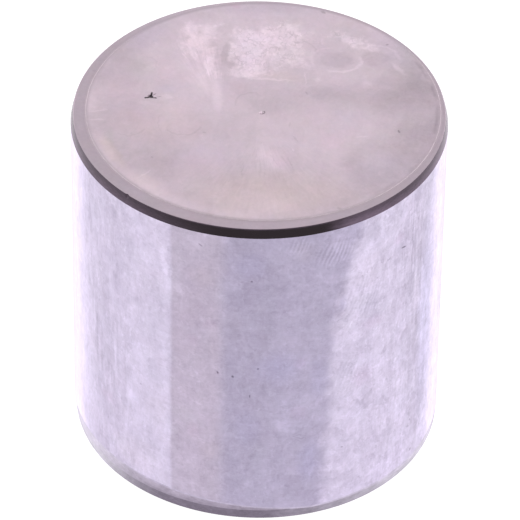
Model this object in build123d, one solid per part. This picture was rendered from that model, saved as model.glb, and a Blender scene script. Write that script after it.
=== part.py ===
from build123d import *
import math
import os

# Valve shim: a one-piece hardened steel cup that sits upside down over the end of a valve stem.
# Frame: +Z up, origin at the centre of the rim that the cup stands on, working face on top.
# Azimuths are degrees round +Z, from 0 at -Y towards +X.

# Cup
SHIM_DIAMETER = 10.0
SHIM_HEIGHT = 10.0
CROWN_THICKNESS = 3.0

# Bore for the valve stem
STEM_DIAMETER = 7.0
STEM_CLEARANCE = 0.03
MOUTH_CHAMFER = 0.3
BORE_FLOOR_RADIUS = 0.3

# Steep, narrow bevel round the edge of the working face
EDGE_BEVEL_HEIGHT = 0.267
EDGE_BEVEL_WIDTH = 0.065

# Ground disc on the working face, a little off centre, inside a lower land of this mean width
LAND_WIDTH = 0.235
GROUND_DISC_RISE = 0.015
GROUND_DISC_OFFSET_X = 0.10
GROUND_DISC_OFFSET_Y = 0.115

# Steep, very narrow chamfer at the lower corner of the skirt
LOWER_CHAMFER_HEIGHT = 0.25
LOWER_CHAMFER_WIDTH = 0.014

# Shallow run-out low on the skirt, highest and deepest on one side
RUNOUT_HEIGHT = 0.6
RUNOUT_DEPTH = 0.066
RUNOUT_OFFSET = 0.072
RUNOUT_AZIMUTH = -45.0

# Turning centre mark in the middle of the face
CENTRE_MARK_DIAMETER = 0.14
CENTRE_MARK_DEPTH = 0.05
CENTRE_MARK_X = 0.06
CENTRE_MARK_Y = -0.03

# Three-armed pit in the face
PIT_X = -2.89
PIT_Y = 0.62
PIT_ARM_DIAMETER = 0.13
PIT_ARM_REACH = 0.08
PIT_DEPTH = 0.06
PIT_ARM_ANGLES = (75.0, 200.0, 325.0)

# Nick in the upper edge of the bevel
NICK_AZIMUTH = -43.4
NICK_DIAMETER = 0.18
NICK_BITE = 0.03

# Worked-out sizes
shim_radius = SHIM_DIAMETER / 2
bore_radius = (STEM_DIAMETER + STEM_CLEARANCE) / 2
bore_depth = SHIM_HEIGHT - CROWN_THICKNESS
land_height = SHIM_HEIGHT - GROUND_DISC_RISE
face_radius = shim_radius - EDGE_BEVEL_WIDTH
bevel_foot = land_height - EDGE_BEVEL_HEIGHT
ground_disc_radius = face_radius - LAND_WIDTH
ground_disc_root = CROWN_THICKNESS / 2


def at_azimuth(azimuth, radius, height):
    """Point at an azimuth, a radius from the axis and a height."""
    turn = math.radians(azimuth)
    return (radius * math.sin(turn), -radius * math.cos(turn), height)


def turned_cup():
    """Cup turned about +Z: lower chamfer, skirt, edge bevel, face land and blind bore."""
    with BuildPart() as cup:
        with BuildSketch(Plane.XZ):
            with BuildLine():
                Polyline(
                    (0, bore_depth),
                    (bore_radius - BORE_FLOOR_RADIUS, bore_depth),
                )
                CenterArc(
                    (bore_radius - BORE_FLOOR_RADIUS, bore_depth - BORE_FLOOR_RADIUS),
                    BORE_FLOOR_RADIUS,
                    0,
                    90,
                )
                Polyline(
                    (bore_radius, bore_depth - BORE_FLOOR_RADIUS),
                    (bore_radius, MOUTH_CHAMFER),
                    (bore_radius + MOUTH_CHAMFER, 0),
                    (shim_radius - LOWER_CHAMFER_WIDTH, 0),
                    (shim_radius, LOWER_CHAMFER_HEIGHT),
                    (shim_radius, bevel_foot),
                    (face_radius, land_height),
                    (0, land_height),
                    (0, bore_depth),
                )
            make_face()
        revolve(axis=Axis.Z)
    return cup.part


def ground_disc():
    """Disc that stands proud of the land, where the face was ground flat."""
    centre = (GROUND_DISC_OFFSET_X, GROUND_DISC_OFFSET_Y, SHIM_HEIGHT - ground_disc_root / 2)
    return Pos(*centre) * Cylinder(ground_disc_radius, ground_disc_root)


def runout_relief():
    """Ring-shaped cutter whose inner cone is off centre, so that it bites on one side only."""
    slope = RUNOUT_DEPTH / RUNOUT_HEIGHT
    reach = RUNOUT_HEIGHT + 2 * RUNOUT_OFFSET / slope
    low_radius = shim_radius + RUNOUT_OFFSET - RUNOUT_DEPTH
    high_radius = low_radius + slope * reach
    shift = at_azimuth(RUNOUT_AZIMUTH, -RUNOUT_OFFSET, reach / 2)
    blank = Pos(0, 0, reach / 2) * Cylinder(high_radius + 2 * RUNOUT_OFFSET, reach)
    return blank - Pos(*shift) * Cone(low_radius, high_radius, reach)


def centre_mark():
    """Small conical mark left by the turning centre."""
    centre = (CENTRE_MARK_X, CENTRE_MARK_Y, SHIM_HEIGHT - CENTRE_MARK_DEPTH / 2)
    return Pos(*centre) * Cone(0, CENTRE_MARK_DIAMETER / 2, CENTRE_MARK_DEPTH)


def face_pit():
    """Pit with arms: one conical dent in the middle and one along each arm."""
    height = SHIM_HEIGHT - PIT_DEPTH / 2
    dents = Pos(PIT_X, PIT_Y, height) * Cone(0, PIT_ARM_DIAMETER / 2, PIT_DEPTH)
    for angle in PIT_ARM_ANGLES:
        turn = math.radians(angle)
        x = PIT_X + PIT_ARM_REACH * math.cos(turn)
        y = PIT_Y + PIT_ARM_REACH * math.sin(turn)
        dents += Pos(x, y, height) * Cone(0, PIT_ARM_DIAMETER / 2, PIT_DEPTH)
    return dents


def edge_nick():
    """Small bite out of the sharp edge between the land and the bevel."""
    radius = NICK_DIAMETER / 2
    return Pos(*at_azimuth(NICK_AZIMUTH, face_radius + radius - NICK_BITE, land_height)) * Sphere(radius)


valve_shim = turned_cup() + ground_disc()
valve_shim -= runout_relief()
valve_shim -= centre_mark()
valve_shim -= face_pit()
valve_shim -= edge_nick()

os.makedirs("parts", exist_ok=True)
export_step(valve_shim, "parts/valve_shim.step")
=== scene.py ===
"""Looks of a valve shim: a one-piece hardened steel cup that stands on its open rim.

The working face is on top. Lengths in the classes are millimetres in the frame of the part, with +Z up,
and azimuths are degrees round +Z, from 0 at -Y towards +X. Meshes are written in metres.
"""

import logging
import math
from collections.abc import Iterator, Mapping, Sequence
from dataclasses import dataclass, field
from enum import Enum

import bpy
import numpy as np
from mathutils import Matrix, Vector


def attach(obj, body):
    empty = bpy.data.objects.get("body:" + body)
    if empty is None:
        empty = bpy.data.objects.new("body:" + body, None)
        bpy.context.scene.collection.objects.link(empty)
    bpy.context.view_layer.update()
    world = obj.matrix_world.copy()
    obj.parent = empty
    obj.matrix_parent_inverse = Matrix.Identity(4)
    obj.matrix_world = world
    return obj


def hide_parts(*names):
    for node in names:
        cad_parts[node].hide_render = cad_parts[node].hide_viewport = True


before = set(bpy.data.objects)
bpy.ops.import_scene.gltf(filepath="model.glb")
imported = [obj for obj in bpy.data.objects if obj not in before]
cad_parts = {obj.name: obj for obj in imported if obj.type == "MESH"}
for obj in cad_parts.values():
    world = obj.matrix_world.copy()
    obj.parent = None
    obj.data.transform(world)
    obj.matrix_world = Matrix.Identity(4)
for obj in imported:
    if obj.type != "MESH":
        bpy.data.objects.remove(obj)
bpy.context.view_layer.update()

LOG = logging.getLogger("valve_shim")

MM = 0.001
FACE_TOLERANCE = 0.001
CAD_NODE = "valve_shim"
BODY = "root"
IMAGE_SIZE = 520

Socket = bpy.types.NodeSocket
Sockets = bpy.types.bpy_prop_collection
Value = Socket | float | tuple[float, ...] | None
Measure = float | np.ndarray
Pair = tuple[float, float]
Triple = tuple[float, float, float]

NOISE_INPUTS = ("Vector", "Scale", "Detail", "Roughness", "Distortion")
NOISE_MEAN = 0.5
EVEN: Triple = (1.0, 1.0, 1.0)
ARC_FADE = 0.3
MIX_SHARE, MIX_FIRST, MIX_SECOND, MIX_RESULT = 0, 6, 7, 2
OUTPUT_KINDS = {
    "Point": "NodeSocketVector",
    "Solid": "NodeSocketVector",
    "Heading": "NodeSocketVector",
    "Spoke": "NodeSocketVector",
    "Colour": "NodeSocketColor",
}

SKIRT_RADIUS = 5.0
BORE_RADIUS = 3.515
DISC_CENTRE: Pair = (0.10, 0.115)
DISC_RADIUS = 4.70


class Zone(Enum):
    """Surfaces of the cup that carry a finish of their own, in the order of its material slots."""

    GROUND_FACE = 0
    DISC_STEP = 1
    FACE_LAND = 2
    EDGE_BEVEL = 3
    SKIRT = 4
    SKIRT_LIP = 5
    RUNOUT = 6
    LOWER_CHAMFER = 7
    RIM = 8
    BORE = 9


class Bench:
    """Places and wires the nodes of one shader tree."""

    def __init__(self, tree: bpy.types.NodeTree) -> None:
        """Takes the tree that the nodes go into.

        Args:
            tree: A material's node tree or a shader node group.
        """
        self.tree = tree

    def add(self, kind: str, **settings: object) -> bpy.types.Node:
        """Adds a node.

        Args:
            kind: The node's type name.
            **settings: Properties to set on the node.

        Returns:
            The new node.
        """
        node = self.tree.nodes.new(kind)
        for name, value in settings.items():
            setattr(node, name, value)
        return node

    def feed(self, socket: Socket, value: Value) -> None:
        """Links a value to an input, or sets it there where it is a constant.

        Args:
            socket: The input.
            value: An output to link, a constant, or None to leave the input as it is.
        """
        if isinstance(value, Socket):
            self.tree.links.new(value, socket)
        elif value is not None:
            socket.default_value = (*value, 1.0) if socket.type == "RGBA" else value

    def calc(self, operation: str, *values: Value, clamp: bool = False) -> Socket:
        """Adds a sum of plain numbers.

        Args:
            operation: The Math node's operation.
            *values: Its inputs in order.
            clamp: Whether the result stays between 0 and 1.

        Returns:
            The result.
        """
        node = self.add("ShaderNodeMath", operation=operation, use_clamp=clamp)
        for socket, value in zip(node.inputs, values):
            self.feed(socket, value)
        return node.outputs[0]

    def times(self, first: Value, second: Value) -> Socket:
        """Multiplies two numbers."""
        return self.calc("MULTIPLY", first, second)

    def gap(self, value: Value, middle: float) -> Socket:
        """Tells how far a number lies from another, either way."""
        return self.calc("ABSOLUTE", self.calc("SUBTRACT", value, middle))

    def vector(self, operation: str, *values: Value) -> Socket:
        """Adds a vector sum.

        Args:
            operation: The Vector Math node's operation.
            *values: Its inputs in order.

        Returns:
            The vector, or the number where the operation gives one.
        """
        node = self.add("ShaderNodeVectorMath", operation=operation)
        for socket, value in zip(node.inputs, values):
            self.feed(socket, value)
        return node.outputs["Value" if operation in ("LENGTH", "DISTANCE", "DOT_PRODUCT") else "Vector"]

    def scaled(self, vector: Value, factor: Value) -> Socket:
        """Makes a vector or a colour longer or shorter by a number.

        Args:
            vector: The vector or colour.
            factor: The number.

        Returns:
            The changed vector or colour.
        """
        result = self.vector("SCALE", vector)
        self.feed(result.node.inputs["Scale"], factor)
        return result

    def turned(self, vector: Value, angle: Value) -> Socket:
        """Turns a vector about the Z axis.

        Args:
            vector: The vector.
            angle: How far it turns, in radians.

        Returns:
            The turned vector.
        """
        node = self.add("ShaderNodeVectorRotate", rotation_type="Z_AXIS")
        self.feed(node.inputs["Vector"], vector)
        self.feed(node.inputs["Angle"], angle)
        return node.outputs[0]

    def join(self, x: Value, y: Value, z: Value = 0.0) -> Socket:
        """Puts three numbers together as a vector.

        Args:
            x: Its first number.
            y: Its second number.
            z: Its third number.

        Returns:
            The vector.
        """
        node = self.add("ShaderNodeCombineXYZ")
        for socket, value in zip(node.inputs, (x, y, z)):
            self.feed(socket, value)
        return node.outputs[0]

    def split(self, vector: Socket) -> tuple[Socket, Socket, Socket]:
        """Takes a vector apart.

        Args:
            vector: The vector.

        Returns:
            Its three numbers.
        """
        node = self.add("ShaderNodeSeparateXYZ")
        self.feed(node.inputs[0], vector)
        return node.outputs[0], node.outputs[1], node.outputs[2]

    def remap(
        self,
        value: Value,
        low: Value,
        high: Value,
        start: Value = 0.0,
        end: Value = 1.0,
        smooth: bool = True,
    ) -> Socket:
        """Moves a number from one range to another, held inside the second.

        Args:
            value: The number.
            low: Lower end of the first range.
            high: Upper end of the first range.
            start: What low becomes.
            end: What high becomes.
            smooth: Whether the change eases in and out.

        Returns:
            The moved number.
        """
        style = "SMOOTHSTEP" if smooth else "LINEAR"
        node = self.add("ShaderNodeMapRange", interpolation_type=style)
        for socket, number in zip(node.inputs, (value, low, high, start, end)):
            self.feed(socket, number)
        return node.outputs[0]

    def blend(self, share: Value, first: Value, second: Value) -> Socket:
        """Mixes two colours.

        Args:
            share: How much of the second colour shows.
            first: The colour underneath.
            second: The colour on top.

        Returns:
            The mixed colour.
        """
        node = self.add("ShaderNodeMix", data_type="RGBA")
        for number, value in ((MIX_SHARE, share), (MIX_FIRST, first), (MIX_SECOND, second)):
            self.feed(node.inputs[number], value)
        return node.outputs[MIX_RESULT]

    def clouds(
        self, where: Socket, scale: float, detail: float, rough: float, warp: float = 0.0
    ) -> Sockets:
        """Adds cloudy noise.

        Args:
            where: The point to read it at.
            scale: Lumps per millimetre.
            detail: Number of finer layers.
            rough: Strength of each finer layer.
            warp: How far the noise bends itself.

        Returns:
            The noise as one number, Fac, and as three, Color, each 0.5 on average.
        """
        node = self.add("ShaderNodeTexNoise")
        for name, value in zip(NOISE_INPUTS, (where, scale, detail, rough, warp)):
            self.feed(node.inputs[name], value)
        return node.outputs

    def noise(
        self, where: Socket, scale: float, detail: float = 2.0, rough: float = 0.5, warp: float = 0.0
    ) -> Socket:
        """Adds cloudy noise as one number from 0 to 1, with the same choices as clouds."""
        return self.clouds(where, scale, detail, rough, warp)["Fac"]

    def swing(
        self, where: Socket, scale: float, detail: float = 2.0, rough: float = 0.5, warp: float = 0.0
    ) -> Socket:
        """Adds cloudy noise as one number about zero, with the same choices as clouds."""
        return self.calc("SUBTRACT", self.noise(where, scale, detail, rough, warp), NOISE_MEAN)

    def cells(self, where: Socket, scale: Value, feature: str = "F1") -> Sockets:
        """Scatters cells of uneven shape.

        Args:
            where: The point to read them at.
            scale: Cells per millimetre.
            feature: The Voronoi node's feature.

        Returns:
            The node's outputs: Distance, and with F1 each cell's own Color.
        """
        node = self.add("ShaderNodeTexVoronoi", feature=feature)
        self.feed(node.inputs["Vector"], where)
        self.feed(node.inputs["Scale"], scale)
        return node.outputs

    def warp(self, point: Socket, scale: float, amount: float) -> Socket:
        """Pushes a point about, so that what is read there has a ragged outline.

        Args:
            point: The point.
            scale: Lumps per millimetre.
            amount: How far it moves, in millimetres.

        Returns:
            The moved point.
        """
        push = self.vector("SUBTRACT", self.clouds(point, scale, 3.0, 0.6)["Color"], (NOISE_MEAN,) * 3)
        return self.vector("ADD", point, self.scaled(push, amount))

    def effect(self, group: bpy.types.NodeTree, **values: Value) -> Sockets:
        """Places a shader node group.

        Args:
            group: The group.
            **values: Its inputs by name.

        Returns:
            The group's outputs.
        """
        node = self.add("ShaderNodeGroup", node_tree=group)
        for name, value in values.items():
            self.feed(node.inputs[name], value)
        return node.outputs

    def total(self, *terms: tuple[Value, float], start: Value = 0.0) -> Value:
        """Adds up numbers, each with its strength.

        Args:
            *terms: Pairs of a number and its strength.
            start: What the sum starts from.

        Returns:
            The sum.
        """
        result = start
        for value, strength in terms:
            result = self.calc("MULTIPLY_ADD", value, strength, result)
        return result


@dataclass(frozen=True)
class Spot:
    """Soft oval mark on a surface, with its strength, which is below zero where the mark is darker."""

    x: float
    y: float
    wide: float
    high: float
    strength: float = 1.0
    turn: float = 0.0
    core: float = 0.2


@dataclass(frozen=True)
class Arc:
    """Thin oval outline on a surface, whole or only towards one side."""

    x: float
    y: float
    wide: float
    high: float
    toward: float
    share: float
    strength: float = 1.0
    width: float = 0.12


Spots = tuple[Spot, ...]
Marks = tuple[Spot | Arc, ...]


class Stain(Enum):
    """Faint stains, and what each adds to red, green and blue, as a share of the colour."""

    WARM = (0.018, 0.004, -0.046)
    GREEN = (-0.010, 0.010, -0.014)
    BLUE = (-0.022, -0.011, 0.025)
    ROSE = (0.017, -0.014, 0.0)


class Effects:
    """Shader node groups that several finishes share, each built once."""

    def __init__(self) -> None:
        """Builds the groups."""
        self.spot = self._spot()
        self.arc_mark = self._arc_mark()
        self.mottle = self._mottle()
        self.crinkle = self._crinkle()
        self.twist_map = self._twist_map()
        self.strokes = self._strokes()
        self.scuffs = self._scuffs()
        self.flecks = self._flecks()
        self.tints = self._tints()
        self.pinpricks = self._pinpricks()
        self.wall_map = self._wall_map()
        self.disc_map = self._disc_map()

    def _start(
        self, name: str, inputs: Mapping[str, Value], outputs: Sequence[str]
    ) -> tuple[Bench, Sockets, Sockets]:
        """Makes a group with its sockets.

        Args:
            name: The group's name.
            inputs: Name and default of each input, which is a vector unless its default is a number.
            outputs: Name of each output, a number unless OUTPUT_KINDS has it.

        Returns:
            A bench on the group, what it is given and what it makes.
        """
        tree = bpy.data.node_groups.new(name, "ShaderNodeTree")
        for label, value in inputs.items():
            kind = "NodeSocketFloat" if isinstance(value, float) else "NodeSocketVector"
            socket = tree.interface.new_socket(name=label, in_out="INPUT", socket_type=kind)
            if value is not None:
                socket.default_value = value
        for label in outputs:
            kind = OUTPUT_KINDS.get(label, "NodeSocketFloat")
            tree.interface.new_socket(name=label, in_out="OUTPUT", socket_type=kind)
        bench = Bench(tree)
        return bench, bench.add("NodeGroupInput").outputs, bench.add("NodeGroupOutput").inputs

    def _spot(self) -> bpy.types.NodeTree:
        """Soft oval mark: 1 at its middle, 0 outside.

        Returns:
            The group.
        """
        bench, given, made = self._start(
            "soft_spot",
            {"Point": None, "Centre": None, "Turn": 0.0, "Size": EVEN, "Core": 0.3},
            ("Mask",),
        )
        away = bench.vector("SUBTRACT", given["Point"], given["Centre"])
        turned = bench.turned(away, given["Turn"])
        reach = bench.vector("LENGTH", bench.vector("DIVIDE", turned, given["Size"]))
        bench.feed(made["Mask"], bench.remap(reach, given["Core"], 1.0, 1.0, 0.0))
        return bench.tree

    def _mottle(self) -> bpy.types.NodeTree:
        """Uneven tone at three scales, each about zero: broad clouds, blotches and fine grain.

        Returns:
            The group.
        """
        bench, given, made = self._start(
            "mottle",
            {"Point": None, "Stretch": EVEN},
            ("Cloud", "Blotch", "Grain"),
        )
        point = bench.vector("MULTIPLY", given["Point"], given["Stretch"])
        for name, scale, detail, rough, warp in (
            ("Cloud", 0.45, 3.0, 0.5, 0.3),
            ("Blotch", 1.9, 3.0, 0.55, 0.5),
            ("Grain", 9.0, 3.0, 0.65, 0.0),
        ):
            bench.feed(made[name], bench.swing(point, scale, detail, rough, warp))
        return bench.tree

    def _arc_mark(self) -> bpy.types.NodeTree:
        """Thin oval outline: 1 on its line, 0 away from it and on the side that it leaves open.

        Returns:
            The group.
        """
        bench, given, made = self._start(
            "arc_mark",
            {
                "Point": None,
                "Centre": None,
                "Size": EVEN,
                "Toward": (0.0, 1.0, 0.0),
                "Limit": -2.0,
                "Width": 0.12,
            },
            ("Mask",),
        )
        away = bench.vector("SUBTRACT", given["Point"], given["Centre"])
        scaled = bench.vector("DIVIDE", away, given["Size"])
        off = bench.gap(bench.vector("LENGTH", scaled), 1.0)
        line = bench.remap(off, 0.0, given["Width"], 1.0, 0.0)
        facing = bench.vector("DOT_PRODUCT", bench.vector("NORMALIZE", scaled), given["Toward"])
        fade = bench.calc("ADD", given["Limit"], ARC_FADE)
        side = bench.remap(facing, given["Limit"], fade)
        bench.feed(made["Mask"], bench.times(line, side))
        return bench.tree

    def _crinkle(self) -> bpy.types.NodeTree:
        """Dried film broken into small pale cells with dark curls between them.

        Returns:
            The group.
        """
        bench, given, made = self._start(
            "crinkle",
            {"Point": None, "Stretch": (5.0, 5.0, 5.0), "Gap": 0.14},
            ("Cells", "Curls"),
        )
        point = bench.vector("MULTIPLY", given["Point"], given["Stretch"])
        bent = bench.warp(point, 1.3, 1.1)
        edge = bench.cells(bent, 1.0, "DISTANCE_TO_EDGE")["Distance"]
        gap = bench.remap(edge, 0.0, given["Gap"], 1.0, 0.0)
        broken = bench.remap(bench.noise(point, 0.6, 1.0), 0.42, 0.58)
        bench.feed(made["Curls"], bench.times(gap, broken))
        level = bench.split(bench.cells(bent, 1.0)["Color"])[0]
        bench.feed(made["Cells"], bench.calc("SUBTRACT", level, NOISE_MEAN))
        return bench.tree

    def _twist_map(self) -> bpy.types.NodeTree:
        """Winds the space round the axis, so that upright streaks read there lean to one side.

        Returns:
            The group.
        """
        bench, given, made = self._start("twist_map", {"Point": None, "Twist": 0.1}, ("Point",))
        _, _, z = bench.split(given["Point"])
        bench.feed(made["Point"], bench.turned(given["Point"], bench.times(z, given["Twist"])))
        return bench.tree

    def _strokes(self) -> bpy.types.NodeTree:
        """Short fine strokes that cross each other, light and dark, about zero.

        Returns:
            The group.
        """
        bench, given, made = self._start("strokes", {"Point": None}, ("Level",))
        terms = []
        for number, (twist, stretch) in enumerate(
            (
                (0.02, (13.0, 13.0, 1.8)),
                (0.13, (12.0, 12.0, 2.6)),
                (-0.16, (12.0, 12.0, 2.6)),
                (0.5, (9.0, 9.0, 7.0)),
                (0.0, (2.4, 2.4, 17.0)),
            )
        ):
            wound = bench.effect(self.twist_map, Point=given["Point"], Twist=twist)
            moved = bench.vector("MULTIPLY_ADD", wound["Point"], stretch, (7.3 * number, 1.9, 3.1))
            level = bench.noise(moved, 1.0, 2.0, 0.6)
            light, dark = bench.remap(level, 0.56, 0.64), bench.remap(level, 0.44, 0.36)
            level = bench.calc("SUBTRACT", light, dark)
            patch = bench.vector("ADD", given["Point"], (11.0 * number, 0.0, 0.0))
            share = bench.remap(bench.noise(patch, 1.3, 2.0), 0.38, 0.62, 0.15, 1.0)
            terms.append((bench.times(level, share), 1.0))
        bench.feed(made["Level"], bench.total(*terms))
        return bench.tree

    def _scuffs(self) -> bpy.types.NodeTree:
        """Curved rubbed lines, light and dark, and flat worn patches with crisp outlines, both about zero.

        Returns:
            The group.
        """
        bench, given, made = self._start(
            "scuffs",
            {"Point": None, "Stretch": EVEN, "Width": 0.05},
            ("Lines", "Patches"),
        )
        point = bench.vector("MULTIPLY", given["Point"], given["Stretch"])
        lines, patches = [], []
        for number, (scale, weight) in enumerate(((1.7, 1.0), (3.6, 0.8), (6.5, 0.6))):
            moved = bench.vector("ADD", point, (5.1 * number, 2.3, 0.7))
            level = bench.noise(moved, scale, 1.0, 0.5, 0.9)
            line = bench.remap(bench.gap(level, NOISE_MEAN), 0.0, given["Width"], 1.0, 0.0)
            sign = bench.remap(bench.noise(moved, scale * 0.8, 1.0), 0.44, 0.56, -0.8, 1.0)
            other = bench.vector("ADD", moved, (3.0, 9.0, 4.0))
            broken = bench.remap(bench.noise(other, scale, 1.0), 0.44, 0.54)
            lines.append((bench.times(bench.times(line, sign), broken), weight))
        for scale, weight in ((0.8, 1.0), (2.0, 0.8), (4.6, 0.6)):
            level = bench.noise(point, scale, 3.0, 0.5, 0.7)
            patches.append((bench.remap(level, 0.47, 0.54, -0.5, 0.5), weight))
        bench.feed(made["Lines"], bench.total(*lines))
        bench.feed(made["Patches"], bench.total(*patches))
        return bench.tree

    def _flecks(self) -> bpy.types.NodeTree:
        """Short curved flecks with crisp outlines, light and dark, about zero.

        Returns:
            The group.
        """
        bench, given, made = self._start("flecks", {"Point": None, "Stretch": EVEN}, ("Level",))
        point = bench.vector("MULTIPLY", given["Point"], given["Stretch"])
        terms = []
        for number, (scale, weight) in enumerate(((1.9, 0.8), (3.3, 1.0), (5.6, 1.0))):
            moved = bench.vector("ADD", point, (4.1 * number, 6.3, 2.7))
            off = bench.calc("ABSOLUTE", bench.swing(moved, scale, 0.0, 0.5, 0.7))
            line = bench.remap(off, 0.03, 0.08, 1.0, 0.0)
            other = bench.vector("ADD", moved, (9.0, 2.0, 5.0))
            here = bench.remap(bench.noise(other, scale * 1.3, 1.0), 0.50, 0.57)
            third = bench.vector("ADD", moved, (1.0, 8.0, 3.0))
            sign = bench.remap(bench.noise(third, scale * 0.9, 0.0), 0.46, 0.52, -1.0, 1.0)
            terms.append((bench.times(bench.times(line, here), sign), weight))
        bench.feed(made["Level"], bench.total(*terms))
        return bench.tree

    def _tints(self) -> bpy.types.NodeTree:
        """Soft patches of slightly different hue: a colour to multiply by, white on average.

        Returns:
            The group.
        """
        bench, given, made = self._start("tints", {"Point": None, "Amount": 0.1}, ("Colour",))
        total: Value = EVEN
        for scale, weight in ((1.1, 1.0), (3.2, 0.9), (8.0, 0.7)):
            hues = bench.clouds(given["Point"], scale, 1.0, 0.5)["Color"]
            centred = bench.vector("SUBTRACT", hues, (NOISE_MEAN,) * 3)
            strength = bench.times(given["Amount"], weight)
            total = bench.vector("MULTIPLY_ADD", centred, bench.join(strength, strength, strength), total)
        bench.feed(made["Colour"], total)
        return bench.tree

    def _pinpricks(self) -> bpy.types.NodeTree:
        """Scattered tiny pits.

        Returns:
            The group.
        """
        bench, given, made = self._start(
            "pinpricks",
            {"Point": None, "Spread": 1.2, "Size": 0.06, "Share": 0.3},
            ("Mask",),
        )
        cells = bench.cells(given["Point"], given["Spread"])
        near = bench.remap(cells["Distance"], 0.0, given["Size"], 1.0, 0.0)
        pick = bench.split(cells["Color"])[0]
        bench.feed(made["Mask"], bench.times(near, bench.calc("LESS_THAN", pick, given["Share"])))
        return bench.tree

    def _wall_map(self) -> bpy.types.NodeTree:
        """Unrolls an upright wall: length round the wall, height, and azimuth in degrees.

        Returns:
            The group.
        """
        bench, given, made = self._start(
            "wall_map",
            {"Radius": SKIRT_RADIUS},
            ("Point", "Solid", "Azimuth", "Height"),
        )
        solid = bench.scaled(bench.add("ShaderNodeTexCoord").outputs["Object"], 1.0 / MM)
        x, y, z = bench.split(solid)
        turn = bench.calc("ARCTAN2", x, bench.times(y, -1.0))
        bench.feed(made["Point"], bench.join(bench.times(turn, given["Radius"]), z))
        bench.feed(made["Solid"], solid)
        bench.feed(made["Azimuth"], bench.calc("DEGREES", turn))
        bench.feed(made["Height"], z)
        return bench.tree

    def _disc_map(self) -> bpy.types.NodeTree:
        """Reads a flat face: point in millimetres, distance from a centre and a spoke vector.

        The spoke vector is constant along a line through the centre, apart from a slow change
        with the distance, so noise read there gives streaks that fan out.

        Returns:
            The group.
        """
        bench, given, made = self._start(
            "disc_map",
            {"Centre": None, "Along": 0.35, "Across": 12.0},
            ("Point", "Distance", "Heading", "Spoke"),
        )
        point = bench.scaled(bench.add("ShaderNodeTexCoord").outputs["Object"], 1.0 / MM)
        flat = bench.vector("MULTIPLY", point, (1.0, 1.0, 0.0))
        away = bench.vector("SUBTRACT", flat, given["Centre"])
        distance = bench.vector("LENGTH", away)
        heading = bench.vector("NORMALIZE", away)
        spread = bench.scaled(heading, given["Across"])
        along = bench.times(distance, given["Along"])
        bench.feed(made["Spoke"], bench.vector("ADD", spread, bench.join(0.0, 0.0, along)))
        bench.feed(made["Point"], flat)
        bench.feed(made["Distance"], distance)
        bench.feed(made["Heading"], heading)
        return bench.tree

    def marks(self, bench: Bench, point: Socket, marks: Marks) -> Value:
        """Adds up marks on a surface.

        Args:
            bench: The material's bench.
            point: The point on the surface, in millimetres.
            marks: The marks.

        Returns:
            The sum of each mark's mask times its strength.
        """
        terms = []
        for mark in marks:
            values = {"Point": point, "Centre": (mark.x, mark.y, 0.0), "Size": (mark.wide, mark.high, 1.0)}
            if isinstance(mark, Arc):
                group, turn = self.arc_mark, math.radians(mark.toward)
                values["Toward"] = (math.cos(turn), math.sin(turn), 0.0)
                values["Limit"] = math.cos(math.pi * mark.share) - ARC_FADE / 2
                values["Width"] = mark.width
            else:
                group = self.spot
                values["Turn"] = -math.radians(mark.turn)
                values["Core"] = mark.core
            terms.append((bench.effect(group, **values)["Mask"], mark.strength))
        return bench.total(*terms)


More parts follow.
